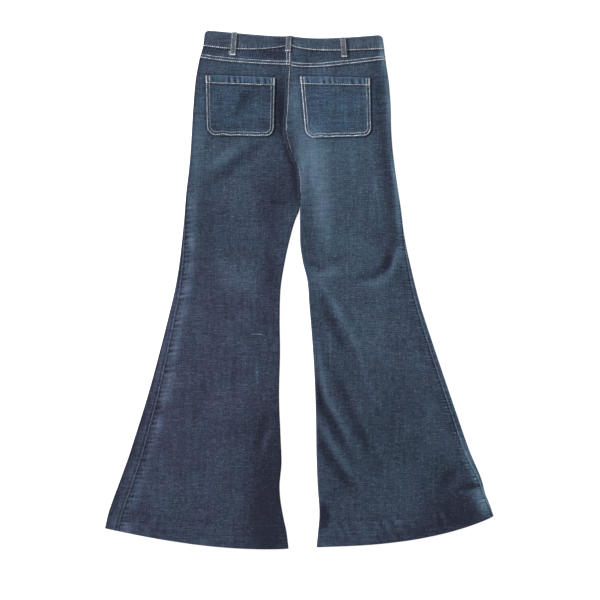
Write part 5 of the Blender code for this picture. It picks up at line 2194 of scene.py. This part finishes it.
@dataclass
class Studio:
    """Floor, light and camera."""

    plan: Plan
    photo_pixels: int = 600
    pixel: float = 2.1
    photo_middle: PlanPoint = (3.15, 563.85)
    camera_height: float = 5.0
    sensor: float = 36.0
    sun_from: tuple[float, float, float] = (-0.80, 0.40, 0.52)
    sun_strength: float = 3.8
    sun_angle: float = 12.0
    sky_strength: float = 0.50
    floor_glow: float = 0.72

    def floor(self) -> None:
        """Plain pale surface."""
        Modelling.pick()
        bpy.ops.mesh.primitive_plane_add(size=60.0, location=(0, 0, -0.3 * MM))
        floor = bpy.context.active_object
        floor.name = "floor"
        graph = Graph("pale_floor")
        mottle = graph.speckle((0.004, 0.004, 0.004))
        floor.data.materials.append(graph.finish(
            Base_Color=graph.grey((0.88 + 0.02 * mottle).clamp()), Roughness=0.9, Specular_IOR_Level=0.1,
            Emission_Color=(1.0, 1.0, 1.0), Emission_Strength=self.floor_glow))

    def light(self) -> None:
        """One broad light from the upper left, and an even sky."""
        bpy.ops.object.light_add(type="SUN", location=(-2, 2, 3))
        sun = bpy.context.active_object
        sun.rotation_euler = Vector(self.sun_from).to_track_quat("Z", "Y").to_euler()
        sun.data.energy = self.sun_strength
        sun.data.angle = math.radians(self.sun_angle)
        world = bpy.data.worlds.new("studio")
        bpy.context.scene.world = world
        world.use_nodes = True
        sky = world.node_tree.nodes["Background"]
        sky.inputs["Color"].default_value = (1.0, 1.0, 1.0, 1.0)
        sky.inputs["Strength"].default_value = self.sky_strength

    def camera(self) -> None:
        """Straight down on the garment, framed as in the photograph."""
        middle = self.plan.world(np.array([*self.photo_middle, 0.0]))
        bpy.ops.object.camera_add(location=(middle[0], middle[1], self.camera_height), rotation=(0, 0, 0))
        camera = bpy.context.active_object
        camera.data.sensor_width = self.sensor
        camera.data.lens = self.sensor * self.camera_height / (self.photo_pixels * self.pixel * MM)
        bpy.context.scene.camera = camera

    def build(self) -> None:
        """Set the scene round the garment."""
        self.floor()
        self.light()
        self.camera()
        settings = bpy.context.scene.view_settings
        settings.view_transform = "Standard"
        settings.look = "None"
        settings.exposure = 0.0


def bumps_under(plan: Plan) -> list[Bump]:
    """Where the front loops and the button lift the front, read from the frame.

    Args:
        plan: carries the frame into the garment's plan.

    Returns:
        One bump for each hard piece.
    """
    margins = [(name, 2.0, 22.0) for name in FRONT_LOOPS] + [("waist_button", 0.0, 24.0)]
    bumps = []
    for name, margin, fall in margins:
        low, high = plan.box(name)
        (middle_x, middle_y, _), (half_x, half_y, _) = (low + high) / 2, (high - low) / 2
        height = high[2] + CLOTH.bump_clearance
        bumps.append(Bump(middle_x, middle_y, half_x + margin, half_y + margin, fall, height))
    return bumps


def main() -> None:
    """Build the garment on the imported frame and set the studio."""
    logging.basicConfig(level=logging.INFO, format="%(name)s %(message)s")
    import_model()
    plan = Plan.from_frame()
    bumps = bumps_under(plan)
    garment = Garment(plan, {side: Leg(side, bumps) for side in Side})
    backs, fronts = {}, {}
    for side in Side:
        back, front = LegPanels(garment, side).build()
        backs[side], fronts[side] = Surface(plan, [back]), Surface(plan, [front])
    yoke_grids = {side: Yoke(garment, side).build() for side in Side}
    yokes = {side: Surface(plan, [grid]) for side, grid in yoke_grids.items()}
    band_grid = Waistband(garment).build()
    band, waist = Surface(plan, [band_grid]), Surface(plan, [band_grid, *yoke_grids.values()])
    pockets = {side: PatchPocket(garment, side, backs[side]) for side in Side}
    pocket_tops = {side: Surface(plan, [pocket.build()]) for side, pocket in pockets.items()}
    sewing = Sewing(garment)
    seams = SewnSeams(garment, sewing, band, backs, fronts, yokes, pockets, pocket_tops)
    for line in BACK_LOOPS:
        seams.loop(line, Surface(plan, [BeltLoop(garment, line, waist).build()]))
    for name in FRONT_LOOPS:
        low, high = plan.box(name)
        x = float(low[0] + high[0]) / 2
        BeltLoop(garment, LoopPlan(name, (x, float(low[1])), (x, float(high[1]))), None).build()
    WaistButton(garment).build()
    FlyZip(garment).build()
    seams.waist()
    seams.yoke()
    seams.seat()
    seams.sides()
    seams.fly()
    seams.loose_threads(waist)
    for side in Side:
        seams.pocket(side)
    sewing.build()
    Studio(plan).build()


if __name__ == "__main__":
    main()
